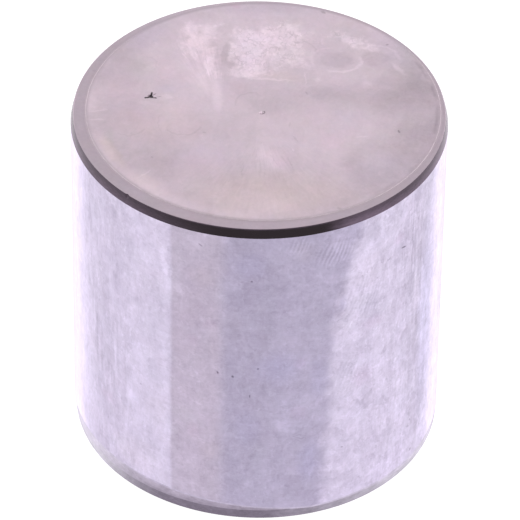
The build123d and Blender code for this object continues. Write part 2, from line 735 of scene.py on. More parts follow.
@dataclass(frozen=True)
class Finish:
    """What every finish shares: a material with one steel shader."""

    name: str = "finish"
    metallic: float = 1.0
    roughness: float = 0.4
    specular: float = 0.5
    warm: Spots = ()
    green: Spots = ()
    blue: Spots = ()
    rose: Spots = ()

    def material(self, effects: Effects) -> bpy.types.Material:
        """Makes the material.

        Args:
            effects: The shared groups.

        Returns:
            The material.
        """
        made = bpy.data.materials.new(self.name)
        made.use_nodes = True
        bench, shader = Bench(made.node_tree), made.node_tree.nodes["Principled BSDF"]
        bench.feed(shader.inputs["Metallic"], self.metallic)
        bench.feed(shader.inputs["Roughness"], self.roughness)
        bench.feed(shader.inputs["Specular IOR Level"], self.specular)
        self.wire(bench, shader, effects)
        return made

    def wire(self, bench: Bench, shader: bpy.types.Node, effects: Effects) -> None:
        """Lays out what feeds the shader, which each finish does in its own way."""
        raise NotImplementedError

    def hue(self, bench: Bench, colour: Value, shifts: Sequence[tuple[Value, Triple]]) -> Socket:
        """Shifts a colour's hue where masks say so.

        Args:
            bench: The material's bench.
            colour: The colour.
            shifts: Pairs of a mask and what it adds to each channel, as a share of the channel.

        Returns:
            The shifted colour.
        """
        factor: Value = EVEN
        for mask, change in shifts:
            factor = bench.vector("MULTIPLY_ADD", bench.join(mask, mask, mask), change, factor)
        return bench.vector("MULTIPLY", colour, factor)

    def stains(self, bench: Bench, effects: Effects, point: Socket) -> list[tuple[Value, Triple]]:
        """Reads the stains on the surface.

        Args:
            bench: The material's bench.
            effects: The shared groups.
            point: The point on the surface, in millimetres.

        Returns:
            Pairs of a stain's mask and what it adds to each channel.
        """
        patches = (
            (Stain.WARM, self.warm),
            (Stain.GREEN, self.green),
            (Stain.BLUE, self.blue),
            (Stain.ROSE, self.rose),
        )
        return [(effects.marks(bench, point, marks), stain.value) for stain, marks in patches]

    def paint(self, bench: Bench, shader: bpy.types.Node, colour: Value, tone: Value) -> None:
        """Feeds the shader a colour made lighter or darker by a tone.

        Args:
            bench: The material's bench.
            shader: The Principled shader.
            colour: The colour.
            tone: What the colour is multiplied by.
        """
        bench.feed(shader.inputs["Base Color"], bench.scaled(colour, tone))

    def relief(self, bench: Bench, shader: bpy.types.Node, height: Value, depth: float) -> None:
        """Feeds the shader a bumpy normal.

        Args:
            bench: The material's bench.
            shader: The Principled shader.
            height: The height, about 0 to 1.
            depth: What a height of 1 stands for, in millimetres.
        """
        bump = bench.add("ShaderNodeBump")
        bump.inputs["Distance"].default_value = depth * MM
        bump.inputs["Strength"].default_value = 1.0
        bench.feed(bump.inputs["Height"], height)
        bench.feed(shader.inputs["Normal"], bump.outputs["Normal"])


@dataclass(frozen=True)
class GroundFaceFinish(Finish):
    """Ground working face: streaks that fan out from the middle, partly grinding marks in the relief and
    partly painted highlight fans, a pale dried film, faint stains, and painted light and shade on the
    disc's edge and on the turning mark.
    """

    name: str = "ground_face"
    roughness: float = 0.32
    colour: Triple = (0.585, 0.480, 0.552)
    land_share: float = 0.735
    edge_inset: float = 0.08
    edge_raggedness: float = 0.06
    # Painted light and shade on the disc's edge: a lighter band on its front-left side and a darker ragged
    # line on its right side.
    edge_painted_light: float = 0.09
    edge_painted_shade: float = -0.14
    painted_light_reach: Pair = (0.50, 0.15)
    painted_shade_line_reach: Pair = (0.02, 0.11)
    painted_light_toward: Triple = (-0.64, -0.77, 0.0)
    painted_light_range: Pair = (0.55, 0.95)
    painted_shade_toward: Triple = (0.99, -0.14, 0.0)
    painted_shade_range: Pair = (0.60, 0.90)
    film_range: Pair = (0.18, 1.05)
    film_tear: float = 2.1
    film_streak: float = 1.3
    pit_shade: float = -0.9
    # Centres and spots of the two fans of streaks. Where the spots reach, the streaks are painted into the
    # tone as highlight fans.
    ray_centre: Triple = (0.06, -0.60, 0.0)
    highlight_fan_spots: Spots = (
        Spot(0.3, -2.9, 3.0, 2.0, 0.6, core=0.3),
        Spot(0.2, -2.0, 0.8, 1.1, 0.8, 8.0),
    )
    side_ray_centre: Triple = (-1.05, 0.10, 0.0)
    side_fan_and_highlight_spots: Spots = (Spot(-1.65, 2.3, 0.95, 2.3, 1.0, 18.0),)
    coral_spots: Spots = (Spot(0.45, 3.05, 2.1, 2.1, core=0.55), Spot(2.4, 3.2, 1.2, 0.7))
    film: Spots = (
        Spot(-0.42, 2.6, 0.62, 1.45, 1.05, 4.0, 0.35),
        Spot(0.35, 2.85, 1.1, 1.6, 0.8, core=0.35),
        Spot(0.95, 3.45, 0.85, 0.95, 0.45, 10.0),
        Spot(-0.3, 1.7, 1.0, 0.35, 0.6, -2.0, 0.3),
        Spot(-1.75, 3.5, 0.75, 0.85, 0.7, 18.0),
        Spot(-1.5, 2.6, 0.6, 1.1, 0.85, 22.0),
        Spot(-1.2, 3.6, 0.5, 0.8, 0.45),
        Spot(-1.3, 1.7, 0.38, 0.8, 0.65, 12.0),
        Spot(-2.0, 2.7, 0.4, 0.8, 0.45, 22.0),
        Spot(2.4, 3.25, 1.2, 0.5, 0.8, -32.0),
        Spot(1.75, 2.95, 0.5, 0.35, 0.35, -10.0),
        Spot(1.45, 1.5, 0.8, 0.4, 0.4, 8.0, 0.1),
        Spot(1.25, 2.25, 0.45, 0.8, 0.4, -10.0, 0.1),
    )
    light_marks: Marks = (
        Spot(-1.55, 1.6, 0.62, 1.3, 0.13, 18.0, 0.1),
        Spot(-2.4, 3.2, 1.4, 1.4, 0.04),
        Spot(0.2, 3.7, 3.4, 1.7, 0.02),
        Spot(-1.12, 0.7, 0.2, 1.15, 0.13, 2.0),
        Spot(-1.45, 0.95, 0.1, 0.75, 0.05, 12.0),
        Spot(1.22, 1.45, 0.035, 0.4, 0.1, core=0.3),
        Spot(0.35, 1.4, 0.75, 0.06, 0.12, core=0.3),
        Spot(2.82, 1.25, 0.22, 0.26, 0.09),
        Spot(3.35, 1.12, 0.42, 0.18, 0.06),
        Spot(3.72, 1.95, 0.1, 0.45, 0.12, 28.0),
        Spot(-4.3, -0.45, 0.32, 0.045, 0.09, core=0.4),
        Spot(-4.25, -0.05, 0.3, 0.045, 0.08, 8.0, 0.4),
        Spot(-4.45, 0.35, 0.25, 0.6, 0.06),
        Spot(-2.45, 0.56, 0.2, 0.13, 0.1, core=0.3),
        Spot(-3.0, 0.3, 0.35, 0.1, 0.05, -10.0),
        Spot(0.38, -2.05, 0.42, 0.75, 0.12, 28.0, 0.1),
        Spot(0.08, -1.75, 0.16, 0.6, 0.09, -4.0, 0.1),
        Spot(2.7, -1.05, 0.26, 0.055, 0.1, 4.0, 0.3),
        Spot(0.9, -1.62, 0.04, 0.08, 0.16, core=0.3),
        Spot(-2.85, -3.05, 0.95, 0.4, 0.09, -42.0),
        Spot(-3.98, -1.6, 0.16, 0.9, 0.06, 24.0),
        Spot(-2.95, -2.72, 0.05, 0.35, 0.1, -45.0, 0.3),
        Spot(0.05, -3.7, 2.4, 0.95, 0.07, core=0.1),
        Spot(1.95, -1.35, 0.35, 0.45, 0.05, core=0.1),
        Spot(0.2, -4.1, 1.6, 0.35, 0.04, core=0.1),
        Arc(2.05, 2.3, 0.66, 0.52, -50.0, 0.36, 0.13, 0.14),
        Arc(2.05, 2.35, 0.68, 0.5, 160.0, 0.3, 0.08),
        Arc(3.1, 2.45, 0.6, 0.52, 60.0, 0.36, 0.09, 0.14),
    )
    dark_marks: Marks = (
        Spot(-4.1, 0.1, 2.0, 3.1, 0.095),
        Spot(0.1, -3.6, 4.6, 2.2, 0.075, core=0.3),
        Spot(-3.9, 2.1, 1.1, 1.6, 0.09, 30.0),
        Spot(-4.1, -1.7, 0.9, 1.9, 0.08, 25.0, 0.3),
        Spot(4.2, -1.5, 0.8, 1.9, 0.06, -25.0, 0.3),
        Spot(0.3, 0.6, 2.8, 1.3, 0.03),
        Spot(-3.1, -2.8, 1.6, 1.3, 0.09, 40.0),
        Spot(4.2, 0.1, 1.9, 3.0, 0.165),
        Spot(3.2, -2.9, 1.4, 1.2, 0.065, 35.0),
        Spot(2.02, 2.3, 0.56, 0.42, 0.1, core=0.6),
        Spot(3.1, 2.4, 0.52, 0.42, 0.11, core=0.5),
        Spot(3.4, 0.8, 2.3, 1.1, 0.12, 8.0, 0.1),
        Spot(4.2, 2.0, 0.9, 2.1, 0.11, 22.0, 0.1),
        Spot(4.6, -0.6, 0.5, 1.6, 0.06, 5.0, 0.1),
        Spot(-0.6, -0.8, 2.4, 0.9, 0.03, core=0.1),
        Spot(1.7, 0.85, 1.1, 0.5, 0.07),
        Spot(0.2, 0.25, 0.75, 0.55, 0.04, core=0.3),
        Spot(-0.92, 2.55, 0.13, 0.72, 0.13, -5.0, 0.5),
        Spot(-0.8, 2.0, 0.16, 0.22, 0.08, core=0.4),
        Spot(0.2, 4.72, 2.4, 0.5, 0.08, core=0.3),
        Spot(-1.6, 4.25, 0.6, 0.3, 0.05, -20.0),
        Spot(-3.1, 3.3, 0.75, 1.6, 0.09, -42.0, 0.1),
        Spot(-3.6, 2.5, 0.8, 1.2, 0.06, 25.0, 0.1),
        Spot(-4.3, 1.45, 0.5, 0.55, 0.08, 10.0, 0.1),
        Spot(-2.6, -1.85, 1.1, 1.2, 0.09, 20.0),
        Spot(-1.2, -1.1, 1.3, 0.7, 0.03),
        Spot(3.45, -2.45, 1.3, 1.7, 0.085, 32.0, 0.6),
        Spot(4.1, -1.2, 0.6, 1.1, 0.05, 14.0, 0.1),
        Spot(2.3, -2.1, 0.35, 0.3, 0.05, core=0.1),
        Spot(2.2, -3.75, 0.6, 0.25, 0.05, 24.0, 0.1),
        Spot(0.55, -2.75, 0.4, 0.25, 0.05, core=0.1),
        Arc(-2.0, -0.62, 0.46, 0.42, -80.0, 0.4, 0.09),
        Arc(-2.45, -0.55, 0.22, 0.45, 180.0, 0.3, 0.06, 0.2),
        Arc(-3.4, -0.75, 0.4, 0.34, -70.0, 0.35, 0.07),
        Arc(-0.25, 0.4, 0.38, 0.4, 120.0, 0.45, 0.08),
        Arc(-3.0, 2.0, 0.22, 0.32, 30.0, 0.4, 0.07, 0.16),
        Arc(1.1, 2.75, 0.4, 0.32, 60.0, 0.45, 0.08),
        Spot(3.68, -0.77, 0.045, 0.05, 0.28, core=0.4),
        Spot(3.42, 3.06, 0.05, 0.05, 0.26, core=0.4),
        Spot(1.66, 4.45, 0.09, 0.07, 0.25, -30.0, 0.4),
        Spot(-4.72, 0.98, 0.05, 0.07, 0.28, core=0.4),
        Spot(2.1, -4.02, 0.1, 0.09, 0.14, core=0.3),
        Spot(0.95, -1.15, 0.04, 0.22, 0.1, 12.0, 0.3),
        Spot(0.85, -2.2, 0.03, 0.4, 0.09, 14.0, 0.3),
        Spot(0.4, -2.1, 0.025, 0.45, 0.09, 24.0, 0.3),
        Spot(-0.42, -2.55, 0.035, 0.35, 0.08, -3.0, 0.3),
        Spot(-1.42, -0.9, 0.06, 0.05, 0.14, core=0.3),
        Spot(-2.82, -2.02, 0.05, 0.05, 0.12, core=0.3),
        Spot(0.8, -0.55, 0.05, 0.12, 0.1, core=0.3),
        Spot(1.25, 0.8, 0.05, 0.1, 0.14, 20.0, 0.3),
    )
    pit: Spots = (
        Spot(-2.89, 0.59, 0.1, 0.09, 1.0, 10.0, 0.6),
        Spot(-2.87, 0.7, 0.045, 0.12, 1.0, -8.0, 0.5),
        Spot(-2.98, 0.54, 0.09, 0.045, 1.0, 25.0, 0.5),
        Spot(-2.81, 0.53, 0.08, 0.05, 1.0, -30.0, 0.5),
        Spot(-2.78, 0.7, 0.07, 0.03, 0.5, 48.0, 0.4),
        Spot(-2.66, 0.6, 0.1, 0.03, 0.35, 12.0, 0.3),
    )
    # Painted shade and highlight on opposite sides of the turning mark.
    centre_painted_shade: Marks = (
        Arc(0.06, -0.03, 0.075, 0.07, -40.0, 0.45, 0.55, 0.45),
        Spot(0.1, -0.06, 0.045, 0.035, 0.35, core=0.3),
    )
    centre_painted_highlight: Spots = (Spot(0.045, -0.01, 0.035, 0.07, 0.45, core=0.3),)
    warm: Spots = (
        Spot(0.3, -3.5, 2.9, 1.35, 1.1, core=0.3),
        Spot(-3.85, -1.8, 0.24, 1.1, 1.0, 27.0, 0.3),
        Spot(-2.9, -3.1, 0.95, 0.4, 0.6, -42.0, 0.3),
        Spot(-4.35, 0.3, 0.4, 0.9, 0.2),
        Spot(-2.6, -0.6, 1.6, 1.4, 0.4),
        Spot(0.5, 1.55, 1.0, 0.35, 0.6),
    )
    green: Spots = (
        Spot(-3.2, 1.9, 0.5, 0.55),
        Spot(-2.75, 2.6, 0.5, 0.4, 0.8),
        Spot(-3.95, -1.15, 0.22, 0.5, 1.2),
        Spot(0.85, 3.8, 0.45, 0.45),
        Spot(4.2, 2.6, 0.6, 1.2, 1.0, 28.0),
        Spot(3.0, 1.8, 1.4, 0.4, 0.8),
        Spot(3.8, -0.3, 0.5, 0.6, 0.8),
        Spot(-0.1, -3.1, 0.25, 0.6, 0.8),
        Spot(1.1, -2.4, 0.5, 0.9, 0.6, 20.0),
        Spot(0.9, 2.5, 0.3, 0.6, 0.7),
    )
    blue: Spots = (
        Spot(3.25, -2.35, 1.1, 1.1, 0.7, 28.0),
        Spot(-3.1, 3.3, 0.7, 1.3, 0.9, -42.0),
        Spot(0.2, 4.6, 2.4, 0.6, 0.7),
        Spot(3.6, 3.0, 0.8, 1.4, 0.6, 40.0),
        Spot(-0.3, 2.9, 0.55, 1.2, 0.5),
        Spot(2.4, -0.3, 0.7, 0.8, 0.6),
        Spot(-2.5, 0.9, 0.4, 0.3, 0.8),
        Spot(-1.5, -1.8, 1.4, 0.8, 0.5),
    )
    rose: Spots = (
        Spot(-3.6, 0.9, 0.7, 1.0),
        Spot(-1.6, 2.6, 0.8, 1.5, 0.7, 18.0),
        Spot(-3.6, -0.3, 0.9, 0.7, 0.8),
        Spot(-2.4, -0.7, 1.6, 1.2, 0.6),
        Spot(-2.55, 1.9, 0.4, 0.8, 0.8, 10.0),
        Spot(-0.7, 4.7, 0.3, 0.15, 2.0),
        Spot(0.55, -2.0, 0.45, 0.6, 1.0, 20.0),
        Spot(1.95, -1.3, 0.5, 0.5),
        Spot(-1.6, -2.3, 0.6, 0.5, 0.8),
        Spot(-0.6, 1.1, 0.4, 0.6, 0.7),
    )

    def edge_light(self, bench: Bench, effects: Effects) -> tuple[Value, Socket]:
        """Reads the painted light and shade on the disc's edge, lighter on its front-left side and with a
        darker ragged line on its right side, and where the disc gives way to the land.

        Args:
            bench: The material's bench.
            effects: The shared groups.

        Returns:
            The painted light and shade that the tone takes, below zero where it is painted darker, and the
            land's share.
        """
        disc = bench.effect(effects.disc_map, Centre=(*DISC_CENTRE, 0.0), Along=3.0, Across=9.0)
        distance = disc["Distance"]
        heading = disc["Heading"]
        ragged = bench.noise(disc["Spoke"], 1.0, 2.0)
        # Painted light on the front-left of the edge, painted shade on its right.
        painted_lit = bench.remap(bench.vector("DOT_PRODUCT", heading, self.painted_light_toward), *self.painted_light_range)
        dull = bench.remap(bench.vector("DOT_PRODUCT", heading, self.painted_shade_toward), *self.painted_shade_range)
        near = bench.remap(distance, *(DISC_RADIUS - reach for reach in self.painted_light_reach))
        uneven = bench.calc("MULTIPLY_ADD", ragged, self.edge_raggedness, distance)
        fall = bench.remap(uneven, DISC_RADIUS - self.edge_inset, DISC_RADIUS + self.edge_raggedness)
        off = bench.gap(distance, DISC_RADIUS - self.edge_inset)
        line = bench.remap(off, *self.painted_shade_line_reach, 1.0, 0.0)
        wear_and_painted_light = bench.times(line, bench.remap(ragged, 0.35, 0.6))
        change = bench.total(
            (bench.times(near, painted_lit), self.edge_painted_light),
            (bench.times(wear_and_painted_light, dull), self.edge_painted_shade),
        )
        return change, fall

    def wire(self, bench: Bench, shader: bpy.types.Node, effects: Effects) -> None:
        """Lays out what feeds the shader.

        Args:
            bench: The material's bench.
            shader: The Principled shader.
            effects: The shared groups.
        """
        disc = bench.effect(effects.disc_map, Centre=self.ray_centre, Along=2.4, Across=30.0)
        point = disc["Point"]
        fan = bench.effect(effects.disc_map, Centre=self.side_ray_centre, Along=1.4, Across=26.0)
        mottle = bench.effect(effects.mottle, Point=point)
        ragged = bench.warp(point, 2.6, 0.30)
        torn = bench.swing(point, 2.3, 6.0, 0.62, 0.4)
        # Streaks fanning out at the back left: they shape the pale film and are also painted into the tone
        # as a highlight fan.
        side_rays = bench.swing(fan["Spoke"], 1.0, 3.0, 0.6, 0.5)
        side_fan_and_highlight_share = effects.marks(bench, point, self.side_fan_and_highlight_spots)
        film_field = bench.total(
            (effects.marks(bench, bench.warp(ragged, 1.1, 0.7), self.film), 1.0),
            (torn, self.film_tear),
            (bench.times(side_rays, side_fan_and_highlight_share), self.film_streak),
        )
        film = bench.remap(film_field, *self.film_range)
        crinkle = bench.effect(effects.crinkle, Point=point, Stretch=(7.6, 5.2, 5.0), Gap=0.16)
        coral = bench.times(film, effects.marks(bench, ragged, self.coral_spots))
        flecks = bench.effect(effects.flecks, Point=point, Stretch=(1.0, 0.75, 1.0))
        scuffs = bench.effect(effects.scuffs, Point=point, Stretch=(1.5, 1.05, 1.0), Width=0.05)
        fine = bench.effect(effects.scuffs, Point=point, Stretch=(2.9, 2.2, 1.0), Width=0.07)
        # Radial streaks round the turning mark: grinding marks in the relief, and a painted highlight fan
        # in the tone where the fan spots reach.
        rays = bench.swing(disc["Spoke"], 1.0, 3.0, 0.6, 0.5)
        highlight_fan_share = effects.marks(bench, point, self.highlight_fan_spots)
        # Painted light and shade on the disc's edge, and the land's share.
        painted_edge_tone, fall = self.edge_light(bench, effects)
        grain = bench.times(mottle["Grain"], bench.calc("MULTIPLY_ADD", film, 0.8, 1.0))
        broken = bench.calc("MULTIPLY_ADD", film, 0.9, 0.7)
        tone = bench.total(
            (film, 0.235),
            (bench.times(coral, crinkle["Curls"]), -0.20),
            (bench.times(coral, crinkle["Cells"]), 0.12),
            (bench.times(flecks["Level"], broken), 0.024),
            (effects.marks(bench, ragged, self.light_marks), 1.0),
            (effects.marks(bench, ragged, self.dark_marks), -1.0),
            (mottle["Cloud"], 0.20),
            (mottle["Blotch"], 0.10),
            (bench.times(scuffs["Lines"], broken), 0.026),
            (bench.times(scuffs["Patches"], broken), 0.030),
            (bench.times(fine["Lines"], broken), 0.018),
            (grain, 0.08),
            # Painted highlight fans
            (bench.times(rays, bench.calc("ADD", highlight_fan_share, 0.3)), 0.20),
            (bench.times(side_rays, side_fan_and_highlight_share), 0.24),
            # Painted light and shade on the disc's edge
            (painted_edge_tone, 1.0),
            start=1.0,
        )
        land = bench.total((mottle["Grain"], 0.1), (mottle["Blotch"], 0.06), start=self.land_share)
        tone = bench.remap(fall, 0.0, 1.0, tone, land, smooth=False)
        # Painted highlight and shade on the turning mark.
        centre_painted_light = bench.total(
            (effects.marks(bench, point, self.centre_painted_highlight), 1.0),
            (effects.marks(bench, point, self.centre_painted_shade), -1.0),
        )
        pit_marks = effects.marks(bench, bench.warp(point, 9.0, 0.14), self.pit)
        pit = bench.calc("MULTIPLY", pit_marks, 1.0, clamp=True)
        pit_tone = bench.calc("MULTIPLY_ADD", pit, self.pit_shade, 1.0)
        tone = bench.times(bench.calc("ADD", tone, centre_painted_light), pit_tone)
        tint = self.hue(bench, self.colour, self.stains(bench, effects, ragged))
        patches = bench.effect(effects.tints, Point=point, Amount=0.04)
        self.paint(bench, shader, bench.vector("MULTIPLY", tint, patches["Colour"]), tone)
        self.relief(bench, shader, bench.total((mottle["Grain"], 1.0), (rays, 0.6)), 0.002)


@dataclass(frozen=True)
class DiscStepFinish(Finish):
    """Tiny step at the edge of the ground disc, dulled by wear."""

    name: str = "disc_step"
    roughness: float = 0.5
    colour: Triple = (0.53, 0.455, 0.50)

    def wire(self, bench: Bench, shader: bpy.types.Node, effects: Effects) -> None:
        """Lays out what feeds the shader.

        Args:
            bench: The material's bench.
            shader: The Principled shader.
            effects: The shared groups.
        """
        wall = bench.effect(effects.wall_map, Radius=DISC_RADIUS)
        mottle = bench.effect(effects.mottle, Point=wall["Solid"], Stretch=(1.4, 1.4, 1.0))
        tone = bench.total((mottle["Blotch"], 0.5), (mottle["Grain"], 0.5), start=1.0)
        self.paint(bench, shader, self.colour, tone)


@dataclass(frozen=True)
class FaceLandFinish(Finish):
    """Unground land round the face, a little darker and smoother in tone."""

    name: str = "face_land"
    roughness: float = 0.36
    colour: Triple = (0.428, 0.352, 0.409)

    def wire(self, bench: Bench, shader: bpy.types.Node, effects: Effects) -> None:
        """Lays out what feeds the shader.

        Args:
            bench: The material's bench.
            shader: The Principled shader.
            effects: The shared groups.
        """
        disc = bench.effect(effects.disc_map, Centre=(*DISC_CENTRE, 0.0), Along=5.0, Across=11.0)
        mottle = bench.effect(effects.mottle, Point=disc["Point"])
        turned = bench.swing(disc["Spoke"], 1.0, 2.0, 0.6)
        # Painted shade along the foot of the disc's step, ragged.
        foot = bench.remap(disc["Distance"], DISC_RADIUS + 0.05, DISC_RADIUS + 0.13, 1.0, 0.0)
        foot_painted_shade = bench.times(foot, bench.calc("MULTIPLY_ADD", turned, 2.0, 1.0))
        heading = bench.split(disc["Heading"])
        nicks = bench.effect(effects.pinpricks, Point=disc["Point"], Spread=2.2, Size=0.16, Share=0.3)
        tone = bench.total(
            (mottle["Cloud"], 0.12),
            (mottle["Blotch"], 0.08),
            (mottle["Grain"], 0.16),
            (turned, 0.12),
            (foot_painted_shade, -0.03),
            (bench.remap(heading[1], 0.5, 0.95), 0.10),
            (bench.remap(bench.calc("ABSOLUTE", heading[0]), 0.35, 0.85), -0.05),
            (nicks["Mask"], -0.14),
            start=1.0,
        )
        patches = bench.effect(effects.tints, Point=disc["Point"], Amount=0.04)
        self.paint(bench, shader, bench.vector("MULTIPLY", self.colour, patches["Colour"]), tone)


@dataclass(frozen=True)
class EdgeBevelFinish(Finish):
    """Dark film left on the bevel by heat and oil. A paler colour is painted in towards both sides of the
    front as reflection, fuller low down, the tone is painted lighter far round the sides, and the broken
    upper edge is paler too.
    """

    name: str = "edge_bevel"
    metallic: float = 0.0
    roughness: float = 0.24
    specular: float = 0.31
    colour: Triple = (0.0085, 0.0045, 0.0062)
    # Paler colour painted in towards both sides of the front as reflection; the broken upper edge takes
    # some of it too.
    wear_and_painted_light: Triple = (0.326, 0.233, 0.336)
    sheen: Triple = (1.0, 0.80, 0.92)
    left_painted_reflection: Pair = (-8.0, -50.0)
    left_share: float = 0.78
    right_painted_reflection: Pair = (18.0, 31.0)
    bare_azimuth: float = 35.0
    bare_reach: Pair = (2.0, 11.0)
    far_azimuths: Pair = (56.0, 78.0)
    lower_heights: Pair = (9.74, 9.95)
    corner_heights: Pair = (9.93, 9.985)
    corner_share: float = 0.45
    radius: float = 4.97

    def wire(self, bench: Bench, shader: bpy.types.Node, effects: Effects) -> None:
        """Lays out what feeds the shader.

        Args:
            bench: The material's bench.
            shader: The Principled shader.
            effects: The shared groups.
        """
        bench.feed(shader.inputs["Specular Tint"], self.sheen)
        wall = bench.effect(effects.wall_map, Radius=self.radius)
        mottle = bench.effect(effects.mottle, Point=wall["Solid"], Stretch=(0.8, 0.8, 3.0))
        wobble = bench.calc("MULTIPLY_ADD", mottle["Blotch"], 9.0, wall["Azimuth"])
        # Painted reflection: the paler colour comes in towards both sides of the front, fuller low down.
        left = bench.remap(wobble, *self.left_painted_reflection, 0.0, self.left_share)
        right = bench.remap(wobble, *self.right_painted_reflection)
        bare = bench.remap(bench.gap(wobble, self.bare_azimuth), *self.bare_reach, 1.0, 0.0)
        # Painted light: the tone is lighter still far round the sides.
        far = bench.remap(bench.calc("ABSOLUTE", wall["Azimuth"]), *self.far_azimuths)
        lower = bench.remap(wall["Height"], *self.lower_heights, 1.0, 0.55)
        share = bench.times(bench.calc("MAXIMUM", left, right), lower)
        corner = bench.remap(wall["Height"], *self.corner_heights, 0.0, self.corner_share)
        share = bench.calc("MAXIMUM", share, corner)
        film = bench.blend(share, self.colour, self.wear_and_painted_light)
        tone = bench.total(
            (mottle["Cloud"], 0.5),
            (mottle["Blotch"], 0.6),
            (mottle["Grain"], 0.9),
            (far, 0.7),
            (bare, 0.35),
            start=1.0,
        )
        self.paint(bench, shader, film, tone)


